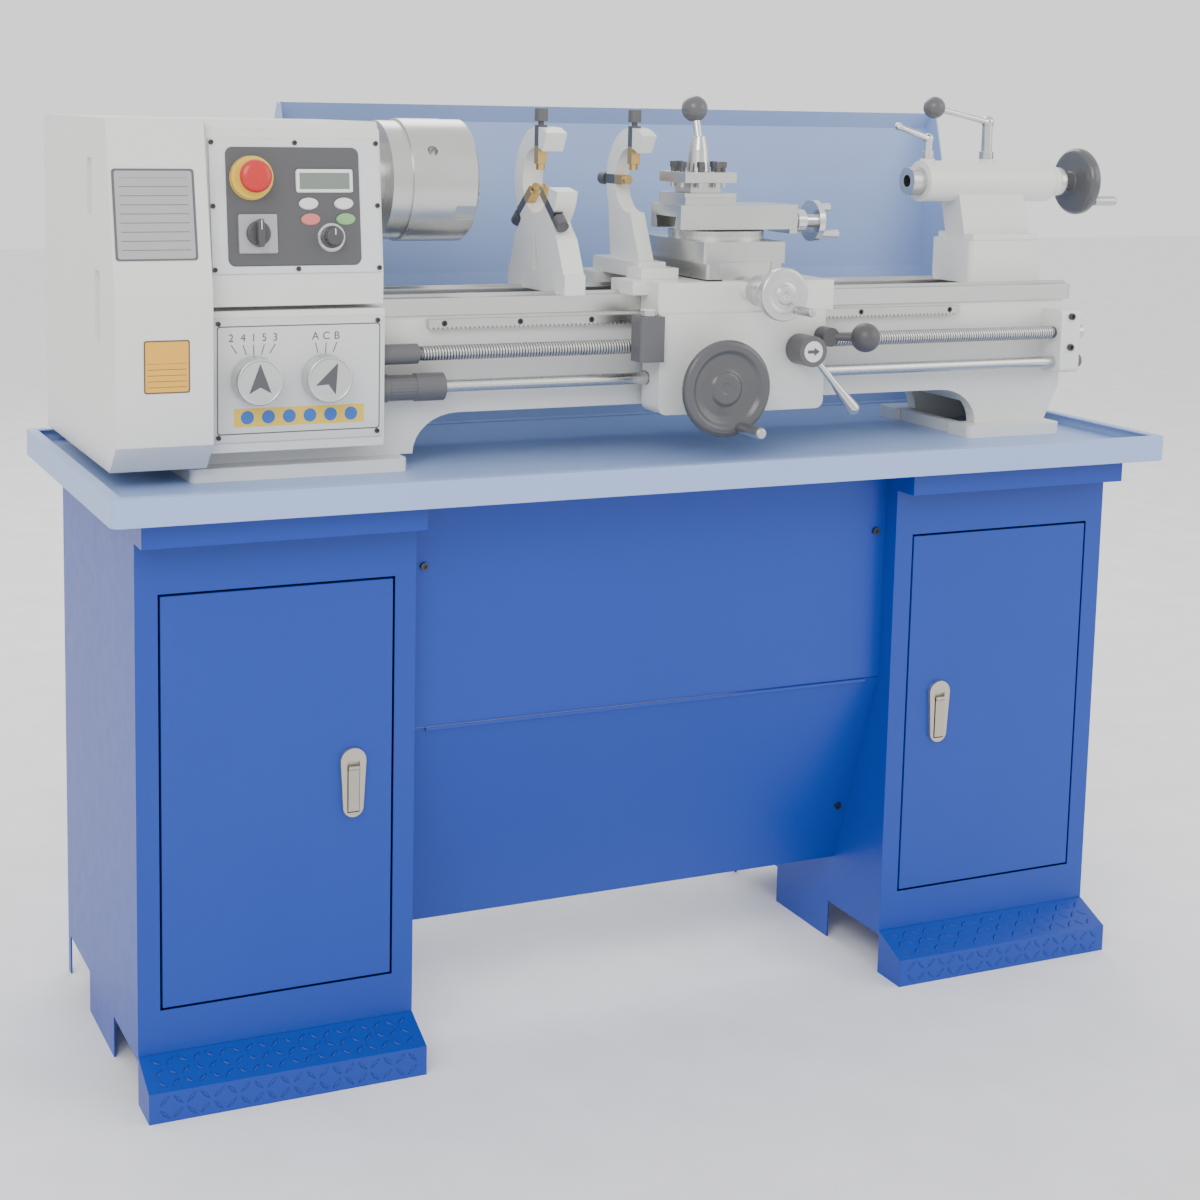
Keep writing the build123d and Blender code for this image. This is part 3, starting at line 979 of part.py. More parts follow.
quill = bar((QUILL_LEFT, 0, SPINDLE_Z), (QUILL_RIGHT, 0, SPINDLE_Z), QUILL_R)
quill = quill - bar((QUILL_LEFT - 1, 0, SPINDLE_Z), (QUILL_LEFT + 70, 0, SPINDLE_Z), 9, 7)
quill = quill - bar((QUILL_LEFT + 80, 0, SPINDLE_Z), (QUILL_RIGHT + 1, 0, SPINDLE_Z),
                    TAIL_SCREW_R + RUNNING_GAP)
keep("quill", quill)
tail_start = BARREL_RIGHT + 16 + SLIDE_GAP
tail_wheel = fillet(bar((TAIL_WHEEL_X - 10, 0, SPINDLE_Z), (TAIL_WHEEL_X + 10, 0, SPINDLE_Z),
                        TAIL_WHEEL_R).edges().filter_by(GeomType.CIRCLE), 6)
tail_wheel = tail_wheel - bar((TAIL_WHEEL_X + 3, 0, SPINDLE_Z), (TAIL_WHEEL_X + 11, 0, SPINDLE_Z), 30, 38)
pin_y, pin_z = polar(40, 225)
keep("tailstock_handwheel", fuse([
    bar((TAIL_LEFT + 60, 0, SPINDLE_Z), (TAIL_WHEEL_X, 0, SPINDLE_Z), TAIL_SCREW_R),
    bar((tail_start, 0, SPINDLE_Z), (tail_start + 14, 0, SPINDLE_Z), 21),
    bar((tail_start + 13, 0, SPINDLE_Z), (TAIL_WHEEL_X + 8, 0, SPINDLE_Z), 14), tail_wheel,
    bar((TAIL_WHEEL_X + 7, pin_y, SPINDLE_Z + pin_z), (TAIL_WHEEL_X + 52, pin_y, SPINDLE_Z + pin_z), 5, 8)]))


def clamp_lever(x, column_top, tip, tip_r, column_r):
    """A turned column on the barrel with an arm that ends in a ball."""
    low = SPINDLE_Z + BARREL_R
    foot = bar((x, 0, low + 3 + SLIDE_GAP), (x, 0, low + 14), column_r)
    column = bar((x, 0, low + 13), (x, 0, column_top), column_r * 0.75)
    stem = bar((x, 0, low - 5), (x, 0, low + 6), 5)
    return fuse([stem, foot, column, ball((x, 0, column_top), column_r * 0.9),
                 bar((x, 0, column_top), tip, 4.5), ball(tip, tip_r)])


keep("tailstock_lever", clamp_lever(TAIL_LEVER_X, 1193.0, (TAIL_LEVER_BALL_X, -12.0, 1213.0), 16, 10.5))
keep("quill_lock_lever", clamp_lever(QUILL_LOCK_X, 1168.0, (QUILL_LOCK_BALL_X, -8.0, 1185.0), 6, 8.5))


# ---------------------------------------------------------------- steady rests
def finger_frame(x, angle):
    """Local Z points out from the spindle axis along the finger."""
    y, z = polar(1, angle)
    return Plane(origin=(x, 0, SPINDLE_Z), x_dir=(1, 0, 0), z_dir=(0, y, z))


def finger(face_x, angle):
    """A square jaw in a groove of the casting's left face, with its knurled knob."""
    frame = finger_frame(face_x + FINGER_SIDE / 2, angle)
    stem = frame.offset(REST_TIP + 8) * Box(FINGER_SIDE, FINGER_SIDE, FINGER_LENGTH - 8, align=UP)
    tip = frame.offset(REST_TIP) * Cylinder(FINGER_SIDE / 2 - 0.5, 10, align=UP)
    neck = frame.offset(REST_TIP + FINGER_LENGTH - 1) * Cylinder(4, 8, align=UP)
    end = frame.offset(REST_TIP + FINGER_LENGTH + 5) * Cylinder(FINGER_KNOB_R, FINGER_KNOB - 5, align=UP)
    return fuse([stem, tip, neck, end])


def finger_groove(face_x, angle):
    side = FINGER_SIDE + 2 * RUNNING_GAP
    groove = finger_frame(face_x + FINGER_SIDE / 2, angle).offset(10) * Box(side, side, 120, align=UP)
    knob = finger_frame(face_x + FINGER_SIDE / 2, angle).offset(REST_OUTER)
    return groove + knob * Cylinder(FINGER_KNOB_R + 1, 60, align=UP)


def ring_sector(x, start, end):
    """The part of the ring between two angles, as a prism across X."""
    points = [polar(REST_INNER, start + (end - start) * step / 16) for step in range(17)]
    points += [polar(REST_OUTER, end - (end - start) * step / 16) for step in range(17)]
    return along_x([(y, SPINDLE_Z + z) for y, z in points], x)


STEADY_ANGLES = {"top": 90.0, "rear": -38.0, "front": 218.0}
steady_x = (STEADY_X - STEADY_THICK / 2, STEADY_X + STEADY_THICK / 2)
steady = ring_sector(steady_x, -150, 118)
steady = steady + ring_sector(steady_x, 190, 240)
steady = steady + along_x([(40, 1066), (50, 1048), (68, 1031), (84, 985), (-96, 985), (-72, 1031),
                           (-52, 1048), (-40, 1066)], steady_x)
steady = steady + block(steady_x, (-100, 90), (BED_TOP, 986))
steady = steady - along_x([(6, 985.5), (0, 1036), (-14, 985.5)], (steady_x[0] - 1, steady_x[1] + 1))
steady = steady - bar((steady_x[0] - 1, 0, SPINDLE_Z), (steady_x[1] + 1, 0, SPINDLE_Z), REST_INNER)
for angle in STEADY_ANGLES.values():
    steady = steady - finger_groove(steady_x[0], angle)
keep("steady_frame", ride_on_ways(steady))
for place, angle in STEADY_ANGLES.items():
    keep(f"steady_finger_{place}", finger(steady_x[0], angle))

FOLLOW_ANGLES = {"top": 90.0, "rear": 0.0}
follow_x = (FOLLOW_X - FOLLOW_THICK / 2, FOLLOW_X + FOLLOW_THICK / 2)
follow = ring_sector(follow_x, -55, 122)
follow = follow + along_x([(66, 1092), (52, 985), (-44, 985), (-6, 1062), (26, 1070)], follow_x)
follow = follow + block((FOLLOW_X - 34, FOLLOW_X + 22), (-90, -46), (SADDLE_TOP, 992))
follow = follow + block((FOLLOW_X - 24, FOLLOW_X + 18), (-60, 82), (SADDLE_TOP, 998))
follow = follow - bar((follow_x[0] - 1, 0, SPINDLE_Z), (follow_x[1] + 1, 0, SPINDLE_Z), REST_INNER)
for angle in FOLLOW_ANGLES.values():
    follow = follow - finger_groove(follow_x[0], angle)
keep("follow_rest", follow)
for place, angle in FOLLOW_ANGLES.items():
    keep(f"follow_finger_{place}", finger(follow_x[0], angle))


# ---------------------------------------------------------------- screws
def cap_screw(frame, radius, height):
    """A round head with a hexagon socket, standing on a frame."""
    head = frame * Cylinder(radius, height, align=UP)
    socket = extrude(frame.offset(height * 0.4) * RegularPolygon(radius * 0.55, 6), amount=height)
    return head - socket


screws = []
for x in (HEAD_LEFT + 10, panel_middle, HEAD_RIGHT - 6):
    for z in (LEAN_START + 6, LEAN_END - 6):
        screws.append(cap_screw(panel_frame(x, z).offset(PANEL_THICK), 3.0, 2.0))
for x in (HEAD_LEFT + 10, HEAD_RIGHT - 6):
    screws.append(cap_screw(panel_frame(x, panel_z).offset(PANEL_THICK), 3.0, 2.0))


def front_frame(x, y, z):
    return Plane(origin=(x, y, z), x_dir=(1, 0, 0), z_dir=(0, -1, 0))


for x in (GEARBOX_LEFT + 12, GEARBOX_RIGHT - 10):
    for z in (DIAL_PLATE_Z[0] + 7, DIAL_PLATE_Z[1] - 7):
        screws.append(cap_screw(front_frame(x, GEARBOX_FRONT - DIAL_PLATE_THICK, z), 3.0, 2.0))
for x in RACK_SCREW_X:
    screws.append(cap_screw(front_frame(x, rack_front + 5, RACK_SCREW_Z), RACK_SCREW_R - 0.2, 4.5))
for z in (FEED_ROD_Z + 22, LEADSCREW_Z + 24):
    screws.append(cap_screw(front_frame((BRACKET_LEFT + BRACKET_RIGHT) / 2, BRACKET_FRONT, z), 5.0, 4.0))
UPPER_SCREW_Z = 632.0
LOWER_SCREW_Z = 216.0
for x in (PANEL_LEFT + 20, PANEL_RIGHT - 16):
    screws.append(cap_screw(front_frame(x, MODESTY_FRONT, UPPER_SCREW_Z), 5.0, 3.5))
slope_angle = atan2(MODESTY_BACK - MODESTY_FRONT, MODESTY_SEAM - MODESTY_BOTTOM)
for x in (PANEL_LEFT + 20, PANEL_RIGHT - 16):
    share = (MODESTY_SEAM - LOWER_SCREW_Z) / (MODESTY_SEAM - MODESTY_BOTTOM)
    place = (x, MODESTY_FRONT + share * (MODESTY_BACK - MODESTY_FRONT), LOWER_SCREW_Z)
    screws.append(cap_screw(Plane(origin=place, x_dir=(1, 0, 0),
                                  z_dir=(0, -cos(slope_angle), -sin(slope_angle))), 5.0, 3.5))
keep("cap_screws", *screws)

# ---------------------------------------------------------------- place and write
machine = Compound(children=[Compound(solids) for solids in NODES.values()])
extent = machine.bounding_box()
ORIGIN_X = (extent.min.X + extent.max.X) / 2
ORIGIN_Y = (extent.min.Y + extent.max.Y) / 2


def main():
    os.makedirs("parts", exist_ok=True)
    for name, solids in NODES.items():
        placed = [Pos(-ORIGIN_X, -ORIGIN_Y, 0) * solid for solid in solids]
        shape = placed[0] if len(placed) == 1 else Compound(children=placed)
        export_step(shape, f"parts/{name}.step")
    print(len(NODES), "nodes, origin", round(ORIGIN_X, 3), round(ORIGIN_Y, 3))


main()
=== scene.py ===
# %% [markdown]
# # A metal lathe on its cabinet stand
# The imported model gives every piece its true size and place. This notebook adds what the
# solids leave plain: a screw thread, fluted knobs, dials, plates, tread and finishes.
# All lengths are in metres, X runs along the bed and the operator stands at -Y.

# %% Load the frame
import math

import bpy
import numpy as np
from mathutils import Matrix, Vector


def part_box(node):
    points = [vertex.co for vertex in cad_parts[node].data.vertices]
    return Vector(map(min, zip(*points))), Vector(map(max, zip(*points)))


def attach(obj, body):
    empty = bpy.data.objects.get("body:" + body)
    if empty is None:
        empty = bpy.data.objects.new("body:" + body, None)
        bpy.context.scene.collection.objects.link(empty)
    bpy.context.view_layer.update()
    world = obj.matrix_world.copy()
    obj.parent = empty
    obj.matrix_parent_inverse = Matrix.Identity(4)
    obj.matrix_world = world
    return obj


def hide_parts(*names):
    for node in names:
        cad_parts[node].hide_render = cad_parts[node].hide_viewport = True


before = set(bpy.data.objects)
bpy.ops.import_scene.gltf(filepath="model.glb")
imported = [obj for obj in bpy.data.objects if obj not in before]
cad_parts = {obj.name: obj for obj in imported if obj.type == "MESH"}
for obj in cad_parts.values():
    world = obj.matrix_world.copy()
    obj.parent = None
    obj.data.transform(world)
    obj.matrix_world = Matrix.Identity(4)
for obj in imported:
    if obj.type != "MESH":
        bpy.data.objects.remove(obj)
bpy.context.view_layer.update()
MM = 0.001


def span(node):
    """The lowest and highest corner of a node, as two arrays."""
    low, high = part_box(node)
    return np.array(low), np.array(high)


def middle(node):
    """The middle of a node's box."""
    low, high = span(node)
    return (low + high) / 2


# %% [markdown]
# ## Room and camera
# The machine stands on a pale floor that runs up into a pale wall of light. The camera is
# at the operator's left, a little below the top of the machine, with a long lens, so
# upright edges stay nearly upright.

# %% Floor, light and camera
CAMERA_PLACE = (-1.283, -2.541, 1.207)
CAMERA_YAW = -0.4191
CAMERA_PITCH = -0.1366
CAMERA_ROLL = 0.0186
CAMERA_LENS = 61.8
CAMERA_SHIFT = (0.0516, -0.177)

look = Vector((-math.sin(CAMERA_YAW) * math.cos(CAMERA_PITCH),
               math.cos(CAMERA_YAW) * math.cos(CAMERA_PITCH), math.sin(CAMERA_PITCH)))
level = Vector((math.cos(CAMERA_YAW), math.sin(CAMERA_YAW), 0))
upright = level.cross(look)
right = level * math.cos(CAMERA_ROLL) + upright * math.sin(CAMERA_ROLL)
up = upright * math.cos(CAMERA_ROLL) - level * math.sin(CAMERA_ROLL)
camera = bpy.data.objects.new("camera", bpy.data.cameras.new("camera"))
bpy.context.collection.objects.link(camera)
camera.matrix_world = Matrix.Translation(CAMERA_PLACE) @ Matrix((right, up, -look)).transposed().to_4x4()
camera.data.lens = CAMERA_LENS
camera.data.shift_x, camera.data.shift_y = CAMERA_SHIFT
bpy.context.scene.camera = camera

FLOOR_HALF = 14.0
floor_mesh = bpy.data.meshes.new("floor")
floor_mesh.from_pydata([(-FLOOR_HALF, -FLOOR_HALF, 0), (FLOOR_HALF, -FLOOR_HALF, 0),
                        (FLOOR_HALF, FLOOR_HALF, 0), (-FLOOR_HALF, FLOOR_HALF, 0)], [], [(0, 1, 2, 3)])
floor = bpy.data.objects.new("floor", floor_mesh)
bpy.context.collection.objects.link(floor)

world = bpy.data.worlds.new("soft room")
world.use_nodes = True
world.node_tree.nodes["Background"].inputs["Color"].default_value = (1.0, 1.0, 1.0, 1)
world.node_tree.nodes["Background"].inputs["Strength"].default_value = 1.3
bpy.context.scene.world = world


def soft_light(name, place, target, size, power):
    """A square softbox that faces a target point."""
    lamp = bpy.data.lights.new(name, "AREA")
    lamp.size, lamp.energy = size, power
    light = bpy.data.objects.new(name, lamp)
    bpy.context.collection.objects.link(light)
    light.location = place
    light.rotation_euler = (Vector(target) - Vector(place)).to_track_quat("-Z", "Y").to_euler()


TARGET = (0, 0, 0.7)
soft_light("key", (-2.6, -3.2, 3.4), TARGET, 2.4, 100)
soft_light("fill", (3.4, -2.6, 2.4), TARGET, 2.6, 40)
soft_light("rim", (0.5, 3.2, 3.6), TARGET, 2.4, 70)

# %% [markdown]
# ## Writing shaders as sums
# A finish is easier to read as arithmetic than as a web of nodes. `Wire` holds one output
# and adds a Math node for each `+`, `-`, `*` or `/`, and `Finish.node` adds any other node.


# %% Shader helpers
class Wire:
    """One output of a node, which can be added, multiplied and so on."""

    def __init__(self, finish, socket):
        self.finish, self.socket = finish, socket

    def maths(self, operation, first, second=0.0, third=0.0):
        return self.finish.node("ShaderNodeMath", {"operation": operation}, {0: first, 1: second, 2: third})

    def __add__(self, other):
        return self.maths("ADD", self, other)

    __radd__ = __add__

    def __sub__(self, other):
        return self.maths("SUBTRACT", self, other)

    def __rsub__(self, other):
        return self.maths("SUBTRACT", other, self)

    def __mul__(self, other):
        return self.maths("MULTIPLY", self, other)

    __rmul__ = __mul__

    def __truediv__(self, other):
        return self.maths("DIVIDE", self, other)

    def __lt__(self, other):
        return self.maths("LESS_THAN", self, other)

    def __gt__(self, other):
        return self.maths("GREATER_THAN", self, other)

    def at_least(self, other):
        return self.maths("MAXIMUM", self, other)

    def absolute(self):
        return self.maths("ABSOLUTE", self)

    def fraction(self):
        return self.maths("FRACT", self)


class Finish:
    """A material under construction, with Object coordinates ready as x, y and z."""

    def __init__(self, name):
        self.material = bpy.data.materials.new(name)
        self.material.use_nodes = True
        self.tree = self.material.node_tree
        self.tree.nodes.clear()
        self.place = self.node("ShaderNodeTexCoord", output="Object")
        self.x, self.y, self.z = (self.node("ShaderNodeSeparateXYZ", {}, {0: self.place}, k)
                                  for k in range(3))

    def node(self, kind, settings=None, inputs=None, output=0):
        made = self.tree.nodes.new(kind)
        for key, value in (settings or {}).items():
            if key == "stops":
                for index, (position, colour) in enumerate(value):
                    if index > 1:
                        made.color_ramp.elements.new(position)
                    made.color_ramp.elements[index].position = position
                    made.color_ramp.elements[index].color = (*colour, 1)
            else:
                setattr(made, key, value)
        for key, value in (inputs or {}).items():
            if isinstance(value, Wire):
                self.tree.links.new(value.socket, made.inputs[key])
            else:
                made.inputs[key].default_value = value
        return Wire(self, made.outputs[output]) if len(made.outputs) else made

    def stretched(self, scale):
        """The place multiplied by its own scale on each axis."""
        return self.node("ShaderNodeVectorMath", {"operation": "MULTIPLY"}, {0: self.place, 1: scale})

    def noise(self, scale, detail=3.0, place=None):
        where = self.place if place is None else place
        return self.node("ShaderNodeTexNoise", {}, {"Vector": where, "Scale": scale, "Detail": detail})

    def blend(self, share, first, second):
        """One colour turning into another as share goes from 0 to 1."""
        return self.node("ShaderNodeMix", {"data_type": "RGBA"}, {0: share, 6: first, 7: second}, 2)

    def bump(self, height, depth, under=None):
        inputs = {"Height": height, "Strength": 1.0, "Distance": depth}
        if under is not None:
            inputs["Normal"] = under
        return self.node("ShaderNodeBump", {}, inputs)

    def soft_edges(self, radius):
        """Normals turned as if every edge had a small radius."""
        return self.node("ShaderNodeBevel", {"samples": 4}, {"Radius": radius})

    def done(self, **inputs):
        names = {"colour": "Base Color", "rough": "Roughness", "metal": "Metallic", "normal": "Normal",
                 "coat": "Coat Weight", "glow": "Emission Color"}
        settings = {names[key]: value for key, value in inputs.items() if key in names}
        for key, value in settings.items():
            if key in ("Base Color", "Emission Color") and not isinstance(value, Wire):
                settings[key] = (*value, 1)
        if "glow" in inputs:
            settings["Emission Strength"] = inputs.get("glow_strength", 1.0)
        shader = self.node("ShaderNodeBsdfPrincipled", {}, settings)
        self.node("ShaderNodeOutputMaterial", {}, {"Surface": shader})
        return self.material


def rgb(red, green, blue):
    """A colour given in ordinary 0 to 255 steps, made linear."""
    steps = np.array([red, green, blue]) / 255
    linear = np.where(steps <= 0.04045, steps / 12.92, ((steps + 0.055) / 1.055) ** 2.4)
    return tuple(float(v) for v in linear)


# %% [markdown]
# ## Painted sheet and painted castings
# Powder coat on folded sheet has a fine, even orange peel and a soft gloss. Machine enamel
# on castings is smoother, and lies over iron that was filled and rubbed down, so it has
# slow, shallow waves. Both get tiny soft edges, because paint never ends in a knife edge.


# %% Paint finishes
def powder_coat(name, colour, darker=0.9):
    """Colour drifts a little over slow noise; the bump is noise of about 2 mm."""
    paint = Finish(name)
    drift = paint.noise(3.0, 2.0)
    shade = tuple(c * darker for c in colour)
    base = paint.blend(drift, (*shade, 1), (*colour, 1))
    peel = paint.noise(420.0, 2.0)
    rough = 0.34 + 0.10 * paint.noise(40.0, 3.0)
    return paint.done(colour=base, rough=rough, normal=paint.bump(peel, 0.00006, paint.soft_edges(0.0012)))


def enamel(name, colour, edge=0.0015):
    """Gloss enamel: slow waves of 20 mm under a finer peel."""
    paint = Finish(name)
    drift = paint.noise(6.0, 2.0)
    base = paint.blend(drift, (*[c * 0.94 for c in colour], 1), (*colour, 1))
    waves = 0.7 * paint.noise(45.0, 2.0) + 0.3 * paint.noise(300.0, 2.0)
    rough = 0.24 + 0.12 * paint.noise(25.0, 4.0)
    return paint.done(colour=base, rough=rough, normal=paint.bump(waves, 0.00012, paint.soft_edges(edge)))


STAND_BLUE = powder_coat("stand blue powder coat", rgb(6, 58, 160))
TREAD_BLUE = powder_coat("tread blue powder coat", rgb(6, 54, 150))
TRAY_BLUE = powder_coat("tray pale blue powder coat", rgb(156, 180, 226))
MACHINE_WHITE = enamel("machine white enamel", rgb(226, 226, 222))
MOTOR_GREY = enamel("motor grey enamel", rgb(96, 100, 104))

# %% [markdown]
# ## Bare metal
# Turned steel shows fine rings round its axis, ground steel fine lines along its stroke.
# Both come from noise squeezed hard in one direction, so the light streaks as it does on
# the real surfaces.


# %% Metal finishes
def cut_metal(name, colour, stretch, roughness, depth=0.00002, edge=0.0006):
    """Noise on stretched coordinates gives tool marks in roughness and height."""
    metal = Finish(name)
    marks = metal.noise(1.0, 4.0, metal.stretched(stretch))
    cloud = metal.noise(18.0, 4.0)
    base = metal.blend(cloud, (*[c * 0.86 for c in colour], 1), (*colour, 1))
    rough = roughness - 0.08 + 0.16 * marks + 0.10 * (cloud - 0.5)
    return metal.done(colour=base, rough=rough, metal=1.0,
                      normal=metal.bump(marks, depth, metal.soft_edges(edge)))


STEEL = rgb(208, 208, 206)
TURNED_X = cut_metal("steel turned along the bed", STEEL, (2200, 60, 60), 0.30)
GROUND_X = cut_metal("steel ground along the bed", STEEL, (30, 1500, 1500), 0.30)
GROUND_Y = cut_metal("steel ground across the bed", STEEL, (1500, 30, 1500), 0.30)
CHROME = cut_metal("polished chrome", rgb(226, 226, 226), (90, 90, 90), 0.14, 0.000005)
LATCH_METAL = cut_metal("satin latch casting", rgb(190, 184, 172), (300, 300, 300), 0.42)
BLACK_OXIDE = cut_metal("black oxide", rgb(84, 84, 86), (500, 500, 500), 0.42)
SATIN_ALLOY = cut_metal("satin alloy", rgb(214, 215, 216), (60, 1400, 60), 0.34)
GRIP_ALLOY = cut_metal("satin crank handle", rgb(196, 197, 198), (70, 70, 70), 0.36)


def moulded(name, colour, roughness, grain=0.00008, scale=900.0):
    """Moulded plastic or rubber: one colour, a fine grain, a soft sheen."""
    plastic = Finish(name)
    base = plastic.blend(plastic.noise(9.0, 2.0), (*[c * 0.85 for c in colour], 1), (*colour, 1))
    grains = plastic.noise(scale, 2.0)
    return plastic.done(colour=base, rough=roughness - 0.05 + 0.10 * grains,
                        normal=plastic.bump(grains, grain, plastic.soft_edges(0.0006)))


BLACK_PLASTIC = moulded("graphite moulded plastic", rgb(78, 78, 81), 0.38)
RED_PLASTIC = moulded("red plastic", rgb(206, 44, 40), 0.28, 0.00002)
WHITE_PRINT = moulded("white print", rgb(232, 232, 230), 0.42, 0.00001)
BLACK_PRINT = moulded("graphite print", rgb(84, 84, 88), 0.45, 0.00001)
BELT_BLACK = moulded("ribbed belt rubber", rgb(38, 38, 38), 0.62)
FLOOR_FINISH = moulded("pale floor", rgb(250, 250, 250), 0.75, 0.00001)
floor.data.materials.append(FLOOR_FINISH)

print(len(bpy.data.materials), "finishes so far")

# %% [markdown]
# ## Several finishes on one piece
# A door carries its bare latch plate, a lever its plastic ball, a panel its printed keys.
# Each such zone is a mask on the Object coordinates: a step in one axis, a rounded
# rectangle, a disc round an axis or a ball. A mask is 1 inside and 0 outside, and turns
# the base colour, roughness and metal into the zone's own.

# %% Places and masks
TRAY_MID = middle("chip_tray")[0]
BED_MID = middle("bed")[1]
SPINDLE = middle("spindle")[1:]


def at(x, y, z):
    """A place given in millimetres from the tray's middle, the bed's middle and the floor."""
    return np.array([x * MM + TRAY_MID, y * MM + BED_MID, z * MM])


def beyond(axis, limit, above=True):
    """A mask that is 1 on one side of a limit along an axis."""
    return lambda f: getattr(f, axis) > limit if above else getattr(f, axis) < limit


def plate(centre, half, radius, axes="xz"):
    """A mask for a rounded rectangle: the distance past its inner rectangle stays in the radius."""
    def mask(f):
        past = [((getattr(f, axis) - c).absolute() - (h - radius)).at_least(0.0)
                for axis, c, h in zip(axes, centre, half)]
        return (past[0] * past[0] + past[1] * past[1]) < radius ** 2
    return mask


def oval(centre, half, axes="xz"):
    """A mask for an ellipse: the squares of both shares add to less than one."""
    def mask(f):
        shares = [(getattr(f, axis) - c) / h for axis, c, h in zip(axes, centre, half)]
        return (shares[0] * shares[0] + shares[1] * shares[1]) < 1.0
    return mask


def globe(centre, radius):
    """A mask for a ball."""
    def mask(f):
        gaps = [getattr(f, axis) - float(c) for axis, c in zip("xyz", centre)]
        return (gaps[0] * gaps[0] + gaps[1] * gaps[1] + gaps[2] * gaps[2]) < radius ** 2
    return mask


def ticks(centre, axes, count, share=0.16):
    """A mask for even marks round a centre, as a fraction of each mark's angle."""
    def mask(f):
        across, along = (getattr(f, axis) - float(c) for axis, c in zip(axes, centre))
        turn = across.maths("ARCTAN2", along, across) * (count / (2 * math.pi)) + count
        return turn.fraction() < share
    return mask


def both(first, second):
    return lambda f: first(f) * second(f)


def outside(inner):
    return lambda f: 1.0 - inner(f)


def zoned(name, base, zones, depth=0.00003, edge=0.0010, stretch=(300, 300, 300)):
    """Each zone is (mask, colour, roughness, metallic) laid over the base in turn."""
    f = Finish(name)
    colour, rough, metal = base
    cloud = f.noise(12.0, 3.0)
    marks = f.noise(1.0, 3.0, f.stretched(stretch))
    colour = f.blend(cloud, (*[c * 0.92 for c in colour], 1), (*colour, 1))
    for mask, zone_colour, zone_rough, zone_metal in zones:
        share = mask(f)
        colour = f.blend(share, colour, (*zone_colour, 1))
        rough = share * (zone_rough - rough) + rough
        metal = share * (zone_metal - metal) + metal
    rough = rough + 0.10 * (marks - 0.5)
    return f.done(colour=colour, rough=rough, metal=metal, normal=f.bump(marks, depth, f.soft_edges(edge)))


PAINT_WHITE, PAINT_BLUE, PLASTIC, BARE = rgb(226, 226, 222), rgb(6, 58, 160), rgb(92, 92, 95), STEEL
PALE, AMBER = rgb(214, 215, 214), rgb(234, 196, 70)
print("tray middle", round(float(TRAY_MID), 4), "bed middle", round(float(BED_MID), 4))

# %% [markdown]
# ## Giving every solid its finish
# Where the finish is one material it comes straight from the list above. Zoned ones are
# written beside the piece that they belong to, with their sizes in millimetres.

# %% Zoned finishes
def flat(x, z):
    """The x and z of a place on the front, in metres."""
    place_there = at(x, 0, z)
    return float(place_there[0]), float(place_there[2])


DOOR_FACE = span("left_cabinet")[0][1] + 0.055
latch_zone = (beyond("y", DOOR_FACE - 0.0003, False), rgb(190, 184, 172), 0.42, 0.9)
DOOR_FINISH = zoned("door with latch plate", (PAINT_BLUE, 0.38, 0.0), [latch_zone])
WAY_FOOT = 0.9366
BED_FINISH = zoned("bed with ground ways", (PAINT_WHITE, 0.30, 0.0),
                   [(beyond("z", WAY_FOOT), BARE, 0.30, 1.0)], stretch=(40, 1200, 900))
SADDLE_FINISH = zoned("saddle with bare dovetail", (PAINT_WHITE, 0.30, 0.0),
                      [(beyond("z", 0.9772), BARE, 0.30, 1.0)])
HEAD_FINISH = zoned("headstock with bearings", (PAINT_WHITE, 0.30, 0.0),
                    [(oval(SPINDLE, (0.0482, 0.0482), "yz"), BARE, 0.30, 1.0)])
APRON_FINISH = zoned("apron with dial house", (PAINT_WHITE, 0.30, 0.0),
                     [(beyond("x", float(at(1.8, 0, 0)[0]), False), PLASTIC, 0.40, 0.0)])
GEARBOX_FACE = float(at(0, -136.2, 0)[1])


def disc_row(x, z, pitch, count, radius):
    """A mask for evenly spaced discs: each point is measured from the middle of its own pitch."""
    start = float(at(x - pitch * count / 2, 0, 0)[0])

    def mask(f):
        across = (((f.x - start) / (pitch * MM)).fraction() - 0.5) * (pitch * MM)
        rise = f.z - z * MM
        return (across * across + rise * rise) < (radius * MM) ** 2
    return both(mask, plate(flat(x, z), (pitch * count * MM / 2, 0.02), 0.0001))


